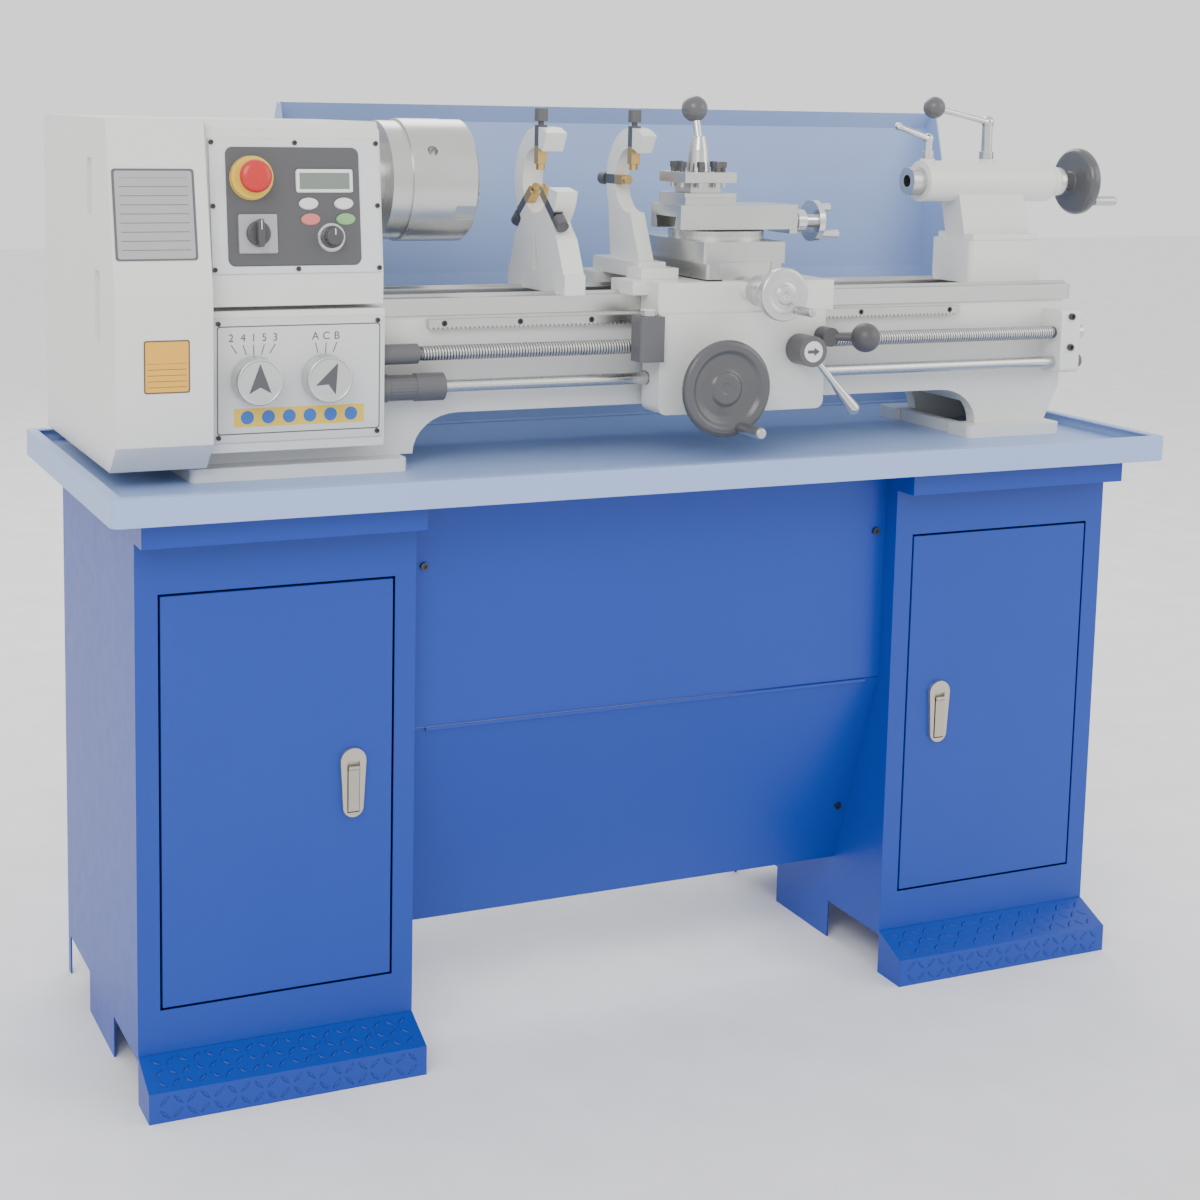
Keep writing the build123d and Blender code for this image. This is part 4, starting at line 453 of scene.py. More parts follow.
border = both(outside(plate(flat(-487.5, 868.5), (0.1026, 0.0649), 0.003)),
              plate(flat(-487.5, 868.5), (0.1042, 0.0665), 0.004))
strip = plate(flat(-487.5, 822.5), (0.0833, 0.0115), 0.001)
GEARBOX_FINISH = zoned("gearbox with dial plate", (PAINT_WHITE, 0.30, 0.0),
                       [(beyond("y", GEARBOX_FACE, False), PALE, 0.42, 0.2),
                        (both(border, beyond("y", GEARBOX_FACE, False)), PLASTIC, 0.45, 0.0),
                        (both(strip, beyond("y", GEARBOX_FACE, False)), AMBER, 0.44, 0.0),
                        (both(disc_row(-487.5, 822.5, 26.5, 6, 8.4), beyond("y", GEARBOX_FACE, False)),
                         rgb(48, 104, 186), 0.44, 0.0)])
PANEL_FINISH = zoned("control panel prints", (rgb(222, 224, 226), 0.40, 0.1), [
    (plate(flat(-493, 1078.5), (0.0841, 0.0715), 0.009), rgb(84, 84, 87), 0.44, 0.0),
    (oval(flat(-546, 1113), (0.0266, 0.0266)), AMBER, 0.34, 0.0),
    (plate(flat(-540, 1046), (0.0242, 0.0237), 0.002), rgb(172, 172, 176), 0.38, 0.4),
    (oval(flat(-447, 1041), (0.0174, 0.0174)), BARE, 0.16, 1.0),
    (plate(flat(-454, 1109.5), (0.0362, 0.0142), 0.003), rgb(232, 232, 232), 0.36, 0.0),
    (plate(flat(-454, 1109.5), (0.0320, 0.0100), 0.001), rgb(120, 132, 124), 0.14, 0.0),
    (oval(flat(-475, 1082), (0.0122, 0.0072)), rgb(222, 222, 222), 0.34, 0.0),
    (oval(flat(-430, 1082), (0.0122, 0.0072)), rgb(222, 222, 222), 0.34, 0.0),
    (oval(flat(-473, 1063), (0.0122, 0.0072)), rgb(210, 120, 112), 0.34, 0.0),
    (oval(flat(-428, 1063), (0.0122, 0.0072)), rgb(130, 180, 120), 0.34, 0.0)])
ROD_FINISH = zoned("feed rod with sleeve", (BARE, 0.28, 1.0),
                   [(beyond("x", float(at(-289.8, 0, 0)[0]), False), PLASTIC, 0.38, 0.0),
                    (beyond("x", float(at(703, 0, 0)[0])), PLASTIC, 0.38, 0.0)], stretch=(1500, 60, 60))
FEED_LEVER_FINISH = zoned("feed lever with black hub", (BARE, 0.16, 1.0),
                          [(oval(flat(214, 885), (0.0213, 0.0213)), PLASTIC, 0.36, 0.0)])
POST_FINISH = zoned("tool post with dark bolts", (BARE, 0.30, 1.0),
                    [(beyond("z", 1.1202), rgb(96, 96, 98), 0.40, 0.6)], stretch=(900, 900, 60))
POST_LEVER_FINISH = zoned("tool post lever", (BARE, 0.20, 1.0),
                          [(globe(at(106, -33, 1205), 0.0183), PLASTIC, 0.26, 0.0)])
TAIL_LEVER_FINISH = zoned("tailstock lever", (BARE, 0.18, 1.0),
                          [(globe(at(512, -12, 1213), 0.0163), PLASTIC, 0.26, 0.0)])
FINGER_FINISH = zoned("rest finger", (rgb(98, 98, 100), 0.38, 0.6),
                      [(oval(SPINDLE, (0.046, 0.046), "yz"), rgb(206, 172, 110), 0.32, 1.0),
                       (outside(oval(SPINDLE, (0.0745, 0.0745), "yz")), PLASTIC, 0.40, 0.3)])
SWIVEL_FINISH = zoned("graduated swivel", (BARE, 0.28, 1.0), [
    (both(both(outside(oval(at(138, -45, 0)[:2], (0.0655, 0.0655), "xy")), beyond("z", 1.034)),
          ticks(at(138, -45, 0)[:2], "xy", 180)), PLASTIC, 0.45, 0.0)])
THREAD_DIAL_FINISH = zoned("thread dial", (BARE, 0.20, 1.0),
                           [(beyond("z", 0.9428), rgb(230, 230, 226), 0.40, 0.0)])

FINISH_OF = {
    "left_cabinet": STAND_BLUE, "right_cabinet": STAND_BLUE, "upper_panel": STAND_BLUE,
    "lower_panel": STAND_BLUE, "left_door": DOOR_FINISH, "right_door": DOOR_FINISH,
    "left_latch_handle": LATCH_METAL, "right_latch_handle": LATCH_METAL,
    "chip_tray": TRAY_BLUE, "splash_guard": TRAY_BLUE, "bed": BED_FINISH, "rack": GROUND_X,
    "end_bracket": MACHINE_WHITE, "headstock": HEAD_FINISH, "gearbox": GEARBOX_FINISH,
    "control_panel": PANEL_FINISH, "motor": MOTOR_GREY, "drive_belt": BELT_BLACK,
    "cap_screws": BLACK_OXIDE, "gear_cover": MACHINE_WHITE, "spindle": TURNED_X,
    "chuck_body": TURNED_X, "spindle_pulley": TURNED_X, "chuck_jaw_1": GROUND_Y,
    "chuck_jaw_2": GROUND_Y, "chuck_jaw_3": GROUND_Y, "motor_pulley": TURNED_X,
    "leadscrew": TURNED_X, "feed_rod": ROD_FINISH, "estop_button": RED_PLASTIC,
    "selector_knob": BLACK_PLASTIC, "speed_knob": BLACK_PLASTIC, "feed_dial": SATIN_ALLOY,
    "range_dial": SATIN_ALLOY, "saddle": SADDLE_FINISH, "apron": APRON_FINISH,
    "follow_rest": MACHINE_WHITE, "apron_handwheel": BLACK_PLASTIC, "thread_dial": THREAD_DIAL_FINISH,
    "half_nut_lever": BLACK_PLASTIC, "feed_lever": FEED_LEVER_FINISH, "cross_handwheel": SATIN_ALLOY,
    "cross_slide": GROUND_Y, "compound_base": SWIVEL_FINISH, "top_slide": GROUND_X,
    "top_slide_handwheel": CHROME, "tool_post": POST_FINISH, "tool_post_lever": POST_LEVER_FINISH,
    "tailstock_base": MACHINE_WHITE, "tailstock_body": MACHINE_WHITE, "quill": TURNED_X,
    "tailstock_handwheel": BLACK_PLASTIC, "tailstock_lever": TAIL_LEVER_FINISH,
    "quill_lock_lever": CHROME, "steady_frame": MACHINE_WHITE, "steady_finger_top": FINGER_FINISH,
    "steady_finger_rear": FINGER_FINISH, "steady_finger_front": FINGER_FINISH,
    "follow_finger_top": FINGER_FINISH, "follow_finger_rear": FINGER_FINISH}
for node, finish in FINISH_OF.items():
    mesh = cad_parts[node].data
    mesh.materials.clear()
    mesh.materials.append(finish)
print("finishes given to", len(FINISH_OF), "of", len(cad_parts), "solids")

# %% [markdown]
# ## Surfaces of revolution
# A handwheel, a knob or a screw is one outline swept round an axis. The outline is a list
# of (along, radius) steps, and `turned` places every point by its angle: along the axis,
# and out by the radius times the cosine and sine. The first and last radius of zero close
# the ends. `rounded_outline` first swaps each corner for a short curve, as a tool leaves it.


# %% Turned pieces
def mesh_piece(name, points, faces, finish, body, smooth=True, stands_for=(), slot="black_plastic"):
    """One mesh from an array of places, with its finish, that rides on a CAD body."""
    mesh = bpy.data.meshes.new(name)
    mesh.from_pydata(np.asarray(points, float).tolist(), [], [tuple(int(k) for k in face) for face in faces])
    mesh.polygons.foreach_set("use_smooth", np.full(len(mesh.polygons), smooth))
    mesh.materials.append(finish)
    mesh.update()
    piece = bpy.data.objects.new(name, mesh)
    bpy.context.collection.objects.link(piece)
    if stands_for:
        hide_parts(*stands_for)
    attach(piece, body)
    return piece


def grid_faces(rows, columns, wrap=True):
    """Four-sided faces between neighbours of a grid whose columns close into a ring."""
    row, column = np.meshgrid(np.arange(rows - 1), np.arange(columns if wrap else columns - 1), indexing="ij")
    after = (column + 1) % columns
    here, above = row * columns, (row + 1) * columns
    corners = [here + column, here + after, above + after, above + column]
    return np.stack(corners, -1).reshape(-1, 4)


def rounded_outline(steps, radius=0.0008, points=4):
    """Each corner of an open outline swapped for a short quadratic curve within the radius."""
    steps = np.asarray(steps, float)
    out = [steps[:1]]
    share = np.linspace(0, 1, points)[:, None]
    for before, corner, after in zip(steps[:-2], steps[1:-1], steps[2:]):
        back, ahead = before - corner, after - corner
        cut = min(radius, 0.45 * np.linalg.norm(back), 0.45 * np.linalg.norm(ahead))
        start = corner + back / (np.linalg.norm(back) + 1e-12) * cut
        end = corner + ahead / (np.linalg.norm(ahead) + 1e-12) * cut
        out.append((1 - share) ** 2 * start + 2 * share * (1 - share) * corner + share ** 2 * end)
    out.append(steps[-1:])
    return np.concatenate(out)


def turned(origin, axis, steps, ripple=None, segments=64, radius=0.0008):
    """Places = origin + along * axis + r * (cos a * side + sin a * lift), r from the outline.

    Ripple, a function of (along, angle), adds to the radius where the outline is off the axis."""
    axis = np.asarray(Vector(axis).normalized())
    side = np.cross(axis, (0, 0, 1.0)) if abs(axis[2]) < 0.9 else np.cross(axis, (0, 1.0, 0))
    side /= np.linalg.norm(side)
    lift = np.cross(axis, side)
    outline = rounded_outline(steps, radius)
    angle = np.linspace(0, 2 * np.pi, segments, endpoint=False)[None, :]
    along, out = outline[:, :1], outline[:, 1:]
    size = out + 0 * angle
    if ripple is not None:
        size = size + np.where(out > 1e-5, ripple(along, angle), 0.0)
    places = (np.asarray(origin) + along[..., None] * axis
              + size[..., None] * (np.cos(angle)[..., None] * side + np.sin(angle)[..., None] * lift))
    return places.reshape(-1, 3), grid_faces(len(outline), segments)


def joined(*parts):
    """Several (places, faces) pairs as one mesh."""
    shift, places, faces = 0, [], []
    for these, quads in parts:
        places.append(these)
        faces.append(quads + shift)
        shift += len(these)
    return np.concatenate(places), np.concatenate(faces)


def scallops(count, depth, low, high):
    """A ripple of hollows, depth deep, on the part of the outline between low and high."""
    return lambda along, angle: (-depth * (0.5 + 0.5 * np.cos(count * angle)) ** 2
                                 * ((along > low) & (along < high)))


# %% [markdown]
# ## Feed shafts
# The leadscrew is a trapezoid thread of 4 mm pitch. Its radius at any point depends only
# on how far the point is along its own turn of the helix: crest, flank, root, flank.

# %% Leadscrew
PITCH = 0.004
ROD_ORIGIN = at(0, -113, 891)
shaft_low, shaft_high = span("leadscrew")
SCREW_START, SCREW_END = float(at(-325, 0, 0)[0]), float(at(667, 0, 0)[0])


def thread_height(along, angle):
    """0 at the root and 1 at the crest, with straight flanks between."""
    phase = np.mod(along / PITCH - angle / (2 * np.pi), 1.0)
    return np.clip(2.2 - 5.5 * np.abs(phase - 0.5), 0, 1)


angle = np.linspace(0, 2 * np.pi, 24, endpoint=False)[None, :]
along = np.linspace(SCREW_START, SCREW_END, int((SCREW_END - SCREW_START) / PITCH * 9))[:, None]
fade = np.clip(np.minimum(along - SCREW_START, SCREW_END - along) / (2 * PITCH), 0, 1)
size = 0.0084 + 0.0015 * fade * thread_height(along, angle)
thread = np.stack([along + 0 * angle, ROD_ORIGIN[1] + size * np.cos(angle),
                   ROD_ORIGIN[2] + size * np.sin(angle)], -1)
ends = [(shaft_low[0], 0), (shaft_low[0], 0.007), (at(-376, 0, 0)[0], 0.007), (at(-376, 0, 0)[0], 0.013),
        (SCREW_START, 0.013), (SCREW_START, 0.0084)]
cap = [(SCREW_END, 0.0084), (SCREW_END + 0.0004, 0.007), (at(702, 0, 0)[0], 0.007), (at(703, 0, 0)[0], 0.012),
       (shaft_high[0], 0.012), (shaft_high[0], 0)]
axis_origin = (0, ROD_ORIGIN[1], ROD_ORIGIN[2])
# The thread roots, inside a radius of 9.2 mm, are painted darker grey and rougher than the crests: painted
# shade in the grooves of the thread.
SCREW_FINISH_WITH_ROOT_SHADE = zoned("leadscrew steel with painted root shade", (BARE, 0.28, 1.0),
                     [(both(oval(ROD_ORIGIN[1:], (0.0092, 0.0092), "yz"), beyond("x", SCREW_START)),
                       rgb(112, 112, 114), 0.44, 1.0),
                      (beyond("x", SCREW_START, False), PLASTIC, 0.38, 0.0)],
                     depth=0.000005, stretch=(60, 60, 60))
mesh_piece("leadscrew_thread", *joined(
    (thread.reshape(-1, 3), grid_faces(len(along), 24)), turned(axis_origin, (1, 0, 0), ends, segments=32),
    turned(axis_origin, (1, 0, 0), cap, segments=32)), SCREW_FINISH_WITH_ROOT_SHADE, "leadscrew", stands_for=("leadscrew",))
print("leadscrew has", round((SCREW_END - SCREW_START) / PITCH), "turns of thread")

# %% [markdown]
# The feed rod's sleeve is the clutch cover: a black tube with a flange and fine flutes.

# %% Feed rod
feed_low, feed_high = span("feed_rod")
feed_origin = (0, ROD_ORIGIN[1], 0.848)
sleeve_end = float(at(-290, 0, 0)[0])
outline = [(feed_low[0], 0), (feed_low[0], 0.007), (at(-376.6, 0, 0)[0], 0.007), (at(-376, 0, 0)[0], 0.018),
           (at(-366, 0, 0)[0], 0.018), (at(-365, 0, 0)[0], 0.0165), (at(-330, 0, 0)[0], 0.0165),
           (at(-329, 0, 0)[0], 0.018), (sleeve_end, 0.018), (sleeve_end, 0.008), (at(667, 0, 0)[0], 0.008),
           (at(667.5, 0, 0)[0], 0.007), (at(702, 0, 0)[0], 0.007), (at(703, 0, 0)[0], 0.010),
           (feed_high[0], 0.010), (feed_high[0], 0)]
flutes = scallops(24, 0.0006, at(-366, 0, 0)[0], at(-329, 0, 0)[0])
mesh_piece("feed_rod_turned", *turned(feed_origin, (1, 0, 0), outline, flutes, 96), ROD_FINISH,
           "feed_rod", stands_for=("feed_rod",))
print("feed rod is", round(float(feed_high[0] - feed_low[0]), 3), "long")

# %% [markdown]
# ## Handwheels
# Each is one turned casting with its crank handle turned apart, as on the real machine,
# because the handle spins on its own pin and is a different metal.

# %% Carriage handwheel
WHEEL = at(75, -200, 842)
OUT = (0, -1, 0)
apron_steps = [(-0.0497, 0), (-0.0497, 0.017), (-0.010, 0.017), (-0.0075, 0.030), (-0.008, 0.045),
               (-0.006, 0.062), (0.0, 0.065), (0.006, 0.0635), (0.008, 0.058), (0.0072, 0.0515),
               (0.002, 0.046), (-0.0005, 0.036), (0.0005, 0.024), (0.004, 0.020), (0.0045, 0.008),
               (0.0035, 0.0065), (0.0035, 0)]
DISH_FINISH = moulded("handwheel graphite enamel", rgb(88, 88, 91), 0.22, 0.00002)
mesh_piece("apron_wheel_dish", *turned(WHEEL, OUT, apron_steps, segments=96, radius=0.0022), DISH_FINISH,
           "apron_wheel", stands_for=("apron_handwheel",))


def grip_steps(start, length, thin, thick):
    """A crank handle: a thin collar, then a plain round grip with a chamfered end."""
    return [(start, 0), (start, thin), (start + 0.004, thin), (start + 0.0045, thick),
            (start + 0.94 * length, thick), (start + length, thick * 0.78), (start + length, 0)]


def grip(name, centre, axis, reach, turn, start, length, thin, thick, body, finish=None):
    """A handle that stands at a reach and angle from a wheel's centre, along its axis."""
    axis_v = Vector(axis)
    offset = (Vector((math.cos(math.radians(turn)), 0, math.sin(math.radians(turn)))) if abs(axis_v.y) > 0.5
              else Vector((0, math.cos(math.radians(turn)), math.sin(math.radians(turn)))))
    origin = np.asarray(centre) + np.asarray(offset) * reach
    shape = turned(origin, axis, grip_steps(start, length, thin, thick), segments=32, radius=0.002)
    return mesh_piece(name, *shape, finish or GRIP_ALLOY, body, slot="chrome")


grip("apron_wheel_grip", WHEEL, OUT, 0.055, -69, 0.004, 0.060, 0.0055, 0.0078, "apron_wheel")
print("carriage handwheel is", 2 * 65, "mm across")

# %% [markdown]
# The cross-feed handwheel has a graduated collar behind its rim. The marks are a mask on
# the angle round the shaft, because they are only ink in a shallow scribe.

# %% Cross-feed handwheel
CROSS = at(138, -232, 967.5)
cross_steps = [(-0.0635, 0), (-0.0635, 0.021), (-0.033, 0.021), (-0.0325, 0.012), (-0.010, 0.012),
               (-0.008, 0.033), (-0.006, 0.035), (0.004, 0.035), (0.006, 0.033), (0.0062, 0.024),
               (0.005, 0.018), (0.006, 0.013), (0.009, 0.012), (0.009, 0.004), (0.006, 0.0035), (0.006, 0)]
COLLAR_FINISH = zoned("graduated collar", (rgb(206, 207, 206), 0.30, 0.85), [
    (both(both(outside(oval(flat(138, 967.5), (0.0205, 0.0205))), beyond("y", float(at(0, -186, 0)[1]))),
          ticks(flat(138, 967.5), "xz", 100)), PLASTIC, 0.45, 0.0)], stretch=(60, 900, 60))
mesh_piece("cross_wheel_body", *turned(CROSS, OUT, cross_steps, segments=96, radius=0.0014), COLLAR_FINISH,
           "cross_wheel", stands_for=("cross_handwheel",))
grip("cross_wheel_grip", CROSS, OUT, 0.027, -48, 0.005, 0.040, 0.004, 0.0058, "cross_wheel")
print("cross-feed handwheel is", 2 * 35, "mm across")

# %% [markdown]
# The tailstock's wheel is a dished rim on a bare steel hub, with its axis along the bed.
# One outline again gives hub, web and rim, and a zone along X keeps the hub bare.

# %% Tailstock handwheel
TAIL = at(784, 0, 1106)
ALONG = (1, 0, 0)
tail_steps = [(-0.164, 0), (-0.164, 0.007), (-0.0437, 0.007), (-0.0437, 0.021),
              (-0.0305, 0.021), (-0.030, 0.014), (-0.012, 0.014), (-0.010, 0.030),
              (-0.009, 0.046), (-0.004, 0.050), (0.004, 0.050),
              (0.010, 0.046), (0.009, 0.039), (0.004, 0.034), (0.003, 0.018), (0.008, 0.014), (0.008, 0.005),
              (0.006, 0.004), (0.006, 0)]
TAIL_WHEEL_FINISH = zoned("tailstock wheel", (rgb(88, 88, 91), 0.24, 0.0),
                          [(beyond("x", float(at(755, 0, 0)[0]), False), BARE, 0.28, 1.0)])
mesh_piece("tail_wheel_body", *turned(TAIL, ALONG, tail_steps, segments=96, radius=0.002), TAIL_WHEEL_FINISH,
           "tail_wheel", stands_for=("tailstock_handwheel",))
grip("tail_wheel_grip", TAIL, ALONG, 0.040, 225, 0.007, 0.045, 0.005, 0.0072, "tail_wheel")
print("tailstock handwheel is", 2 * 50, "mm across")

# %% [markdown]
# ## The two feed selector dials
# Each is a shallow drum of satin alloy with a fluted edge and a recessed pale face. The
# pointer is a bold notched arrow, 0.4 mm thick.


# %% Dials and arrows
def slab(outline, thick, to_world):
    """A flat outline given as (u, v) pairs, thickened, with a rim and two faces."""
    outline = np.asarray(outline, float)
    count = len(outline)
    lower = np.column_stack([outline, np.zeros(count)])
    upper = np.column_stack([outline, np.full(count, thick)])
    places = to_world(np.concatenate([lower, upper]))
    rim = [(k, (k + 1) % count, count + (k + 1) % count, count + k) for k in range(count)]
    faces = rim + [tuple(range(count, 2 * count)), tuple(range(count - 1, -1, -1))]
    return places, faces


def on_front(x, y, z):
    """Turns (u, v, w) into places: u along X, v up, w out towards the operator."""
    origin = at(x, y, z)
    return lambda p: origin + np.column_stack([p[:, 0], -p[:, 2], p[:, 1]])


def slab_piece(name, outline, thick, to_world, finish, body, bevel=0.0):
    """A slab as a piece of its own; a bevel softens its rim."""
    piece = mesh_piece(name, *slab(outline, thick, to_world), finish, body, smooth=False)
    if bevel:
        edge = piece.modifiers.new("edge", "BEVEL")
        edge.width, edge.segments, edge.limit_method = bevel, 3, "ANGLE"
    return piece


def arrow(size, turn=0.0):
    """A notched arrowhead that points up, then turned clockwise by so many degrees."""
    swing = np.radians(turn)
    corners = np.array([(0, 1.0), (0.62, -0.62), (0, -0.28), (-0.62, -0.62)])[::-1] * size
    return corners @ np.array([(np.cos(swing), -np.sin(swing)), (np.sin(swing), np.cos(swing))])


for name, x, body, node, turn in (("feed", -545, "feed_dial", "feed_dial", 0),
                                  ("range", -456.5, "range_dial", "range_dial", 25)):
    centre = at(x, -137.8, 869)
    steps = [(-0.022, 0), (-0.022, 0.008), (0.0, 0.008), (0.0, 0.0285), (0.0015, 0.0295), (0.0255, 0.0290),
             (0.0270, 0.0280), (0.0270, 0.0262), (0.0262, 0.0256), (0.0262, 0)]
    drum = turned(centre, OUT, steps, scallops(36, 0.0005, 0.003, 0.024), 144)
    mesh_piece(f"{name}_dial_drum", *drum, SATIN_ALLOY,
               body, stands_for=(node,))
    slab_piece(f"{name}_dial_arrow", arrow(0.0225, turn), 0.0004, on_front(x, -137.8 - 26.2, 869),
               BLACK_PRINT, body)
print("dials turned, with arrows")

# %% [markdown]
# ## The control panel's knobs
# The stop button is a mushroom with a domed cap. The selector is a pointer across a round
# base, and the speed knob is fluted, with a bright line to read it by.

# %% Knobs on the leaning panel
LEAN = math.atan2(20, 164)
PANEL_OUT = (0, -math.cos(LEAN), math.sin(LEAN))


def on_panel(x, z, lift):
    """A place on the leaning panel, lifted off its face by so many millimetres."""
    lean = -138 + 20 * min(max((z - 997) / 164, 0), 1)
    return at(x, lean, z) + np.array(PANEL_OUT) * lift * MM


def panel_frame(x, z, lift):
    """Turns (u, v, w) into places on the leaning panel, w out from it."""
    origin = on_panel(x, z, lift)
    upward = (0, math.sin(LEAN), math.cos(LEAN))
    return lambda p: (origin + np.outer(p[:, 0], (1, 0, 0)) + np.outer(p[:, 1], upward)
                      + np.outer(p[:, 2], PANEL_OUT))


stop = [(-0.022, 0), (-0.022, 0.008), (0.0152, 0.008), (0.0152, 0.014), (0.0202, 0.0145), (0.0212, 0.0195),
        (0.0255, 0.0200), (0.0290, 0.0180), (0.0312, 0.0135), (0.0320, 0.0070), (0.0322, 0)]
mesh_piece("estop_mushroom", *turned(on_panel(-546, 1113, 0), PANEL_OUT, stop, segments=64, radius=0.0025),
           RED_PLASTIC, "estop", stands_for=("estop_button",))
speed = [(-0.022, 0), (-0.022, 0.003), (0.0055, 0.003), (0.0055, 0.0138), (0.0092, 0.0138), (0.0098, 0.0118),
         (0.0185, 0.0112), (0.0203, 0.0100), (0.0205, 0)]
mesh_piece("speed_knob_fluted", *turned(on_panel(-447, 1041, 0), PANEL_OUT, speed,
                                        scallops(18, 0.0008, 0.0098, 0.0190), 108), BLACK_PLASTIC,
           "speed_knob", stands_for=("speed_knob",))
speed_line = [(-0.0007, 0.002), (0.0007, 0.002), (0.0007, 0.0095), (-0.0007, 0.0095)]
slab_piece("speed_knob_line", speed_line, 0.0003,
           panel_frame(-447, 1041, 20.4), WHITE_PRINT, "speed_knob")
base = turned(on_panel(-540, 1046, 0), PANEL_OUT,
              [(-0.022, 0), (-0.022, 0.003), (0.006, 0.003), (0.006, 0.015), (0.0095, 0.0148),
               (0.0110, 0.0130), (0.0110, 0)], segments=64)
mesh_piece("selector_base", *base, BLACK_PLASTIC, "selector", stands_for=("selector_knob",))
turn_by = np.linspace(0, 2 * np.pi, 40, endpoint=False)
pointer = np.column_stack([0.0045 * np.sign(np.cos(turn_by)) * np.abs(np.cos(turn_by)) ** 0.5,
                           0.0168 * np.sign(np.sin(turn_by)) * np.abs(np.sin(turn_by)) ** 0.7])
slab_piece("selector_pointer", pointer, 0.0135, panel_frame(-540, 1046, 8.5), BLACK_PLASTIC,
           "selector", 0.0012)
slab_piece("selector_line", [(-0.0006, 0.004), (0.0006, 0.004), (0.0006, 0.0155), (-0.0006, 0.0155)], 0.0003,
           panel_frame(-540, 1046, 21.8), WHITE_PRINT, "selector")
print("panel leans back by", round(math.degrees(LEAN), 1), "degrees")

# %% [markdown]
# ## Figures and lines on the dial plate
# The dials point at numbers and letters printed on the plate. Each character comes from
# the built-in font as a curve, is thickened and turned into triangles, and is then put in
# its place, so the finished piece sits at the origin like every other one.

# %% Dial plate print
CAP_SHARE = 0.70


def letters(name, items, height, thick, to_world, finish, body):
    """Characters centred on their (u, v) places, thickened and joined into one piece."""
    parts = []
    for character, u, v in items:
        text = bpy.data.curves.new("character", "FONT")
        text.body, text.size, text.extrude = character, height / CAP_SHARE, thick / 2
        text.align_x, text.align_y = "CENTER", "CENTER"
        holder = bpy.data.objects.new("character", text)
        cut = bpy.data.meshes.new_from_object(holder)
        corners = np.empty(len(cut.vertices) * 3)
        cut.vertices.foreach_get("co", corners)
        cut.calc_loop_triangles()
        faces = np.empty(len(cut.loop_triangles) * 3, int)
        cut.loop_triangles.foreach_get("vertices", faces)
        parts.append((to_world(corners.reshape(-1, 3) + (u, v, thick / 2)), faces.reshape(-1, 3)))
        bpy.data.objects.remove(holder)
        bpy.data.meshes.remove(cut)
        bpy.data.curves.remove(text)
    return mesh_piece(name, *joined(*parts), finish, body, smooth=False)


def stroke(start, end, width):
    """A thin rectangle from one (u, v) place to another."""
    start, end = np.array(start, float), np.array(end, float)
    along = (end - start) / np.linalg.norm(end - start)
    side = np.array([-along[1], along[0]]) * width / 2
    return np.array([start - side, end - side, end + side, start + side])


PLATE_FACE, DIAL_Z = -137.5, 869.0
FEED_MARKS = (("2", -574.0), ("4", -559.0), ("1", -545.8), ("5", -532.4), ("3", -518.7))
RANGE_MARKS = (("A", -467.5), ("C", -453.7), ("B", -440.0))
MARK_Z, LINE_Z, LINE_LENGTH = 920.0, 912.0, 13.0
on_plate = on_front(0, PLATE_FACE + 0.05, 0)
letters("dial_plate_figures", [(text, x * MM, MARK_Z * MM) for text, x in FEED_MARKS + RANGE_MARKS],
        0.0095, 0.00025, on_plate, BLACK_PRINT, "machine")
lines = []
for marks, dial_x in ((FEED_MARKS, -545), (RANGE_MARKS, -456.5)):
    for text, x in marks:
        reach = np.array([dial_x - x, DIAL_Z - LINE_Z])
        reach = reach / np.linalg.norm(reach) * LINE_LENGTH
        start, end = (x * MM, LINE_Z * MM), ((x + reach[0]) * MM, (LINE_Z + reach[1]) * MM)
        places, faces = slab(stroke(start, end, 0.0011), 0.00025, on_plate)
        lines.append((places, np.array(faces)))
mesh_piece("dial_plate_lines", *joined(*lines), BLACK_PRINT, "machine", smooth=False)
print(len(FEED_MARKS) + len(RANGE_MARKS), "figures on the dial plate")

# %% [markdown]
# ## Plates and patches
# A plain grey plate is fixed to the leaning front of the gear cover, and an amber patch
# sits lower down. Both are thin slabs with rounded corners. Their rules come from a mask on
# the height, because lines this fine have no thickness to model.


# %% Plates on the gear cover and the apron
def rectangle(half_u, half_v, radius, points=24):
    """A rounded rectangle: quarter circles pushed out to the four corners."""
    angle = (np.arange(points) + 0.5) * 2 * np.pi / points
    return np.column_stack([np.sign(np.cos(angle)) * (half_u - radius) + radius * np.cos(angle),
                            np.sign(np.sin(angle)) * (half_v - radius) + radius * np.sin(angle)])


def ruled(axis, start, pitch, share):
    """A mask for parallel lines: the start of each pitch along an axis."""
    return lambda f: ((getattr(f, axis) - start) / pitch).fraction() < share


COVER_SLOPE = math.atan2(43, 206)


def on_cover(x, z):
    """Turns (u, v, w) into places on the leaning front of the gear cover."""
    origin = at(x, -170 + max(z - 976, 0) * 43 / 206, z)
    lean = COVER_SLOPE if z > 976 else 0.0
    upward, out = (0, math.sin(lean), math.cos(lean)), (0, -math.cos(lean), math.sin(lean))
    return lambda p: (origin + np.outer(p[:, 0], (1, 0, 0)) + np.outer(p[:, 1], upward)
                      + np.outer(p[:, 2], out))


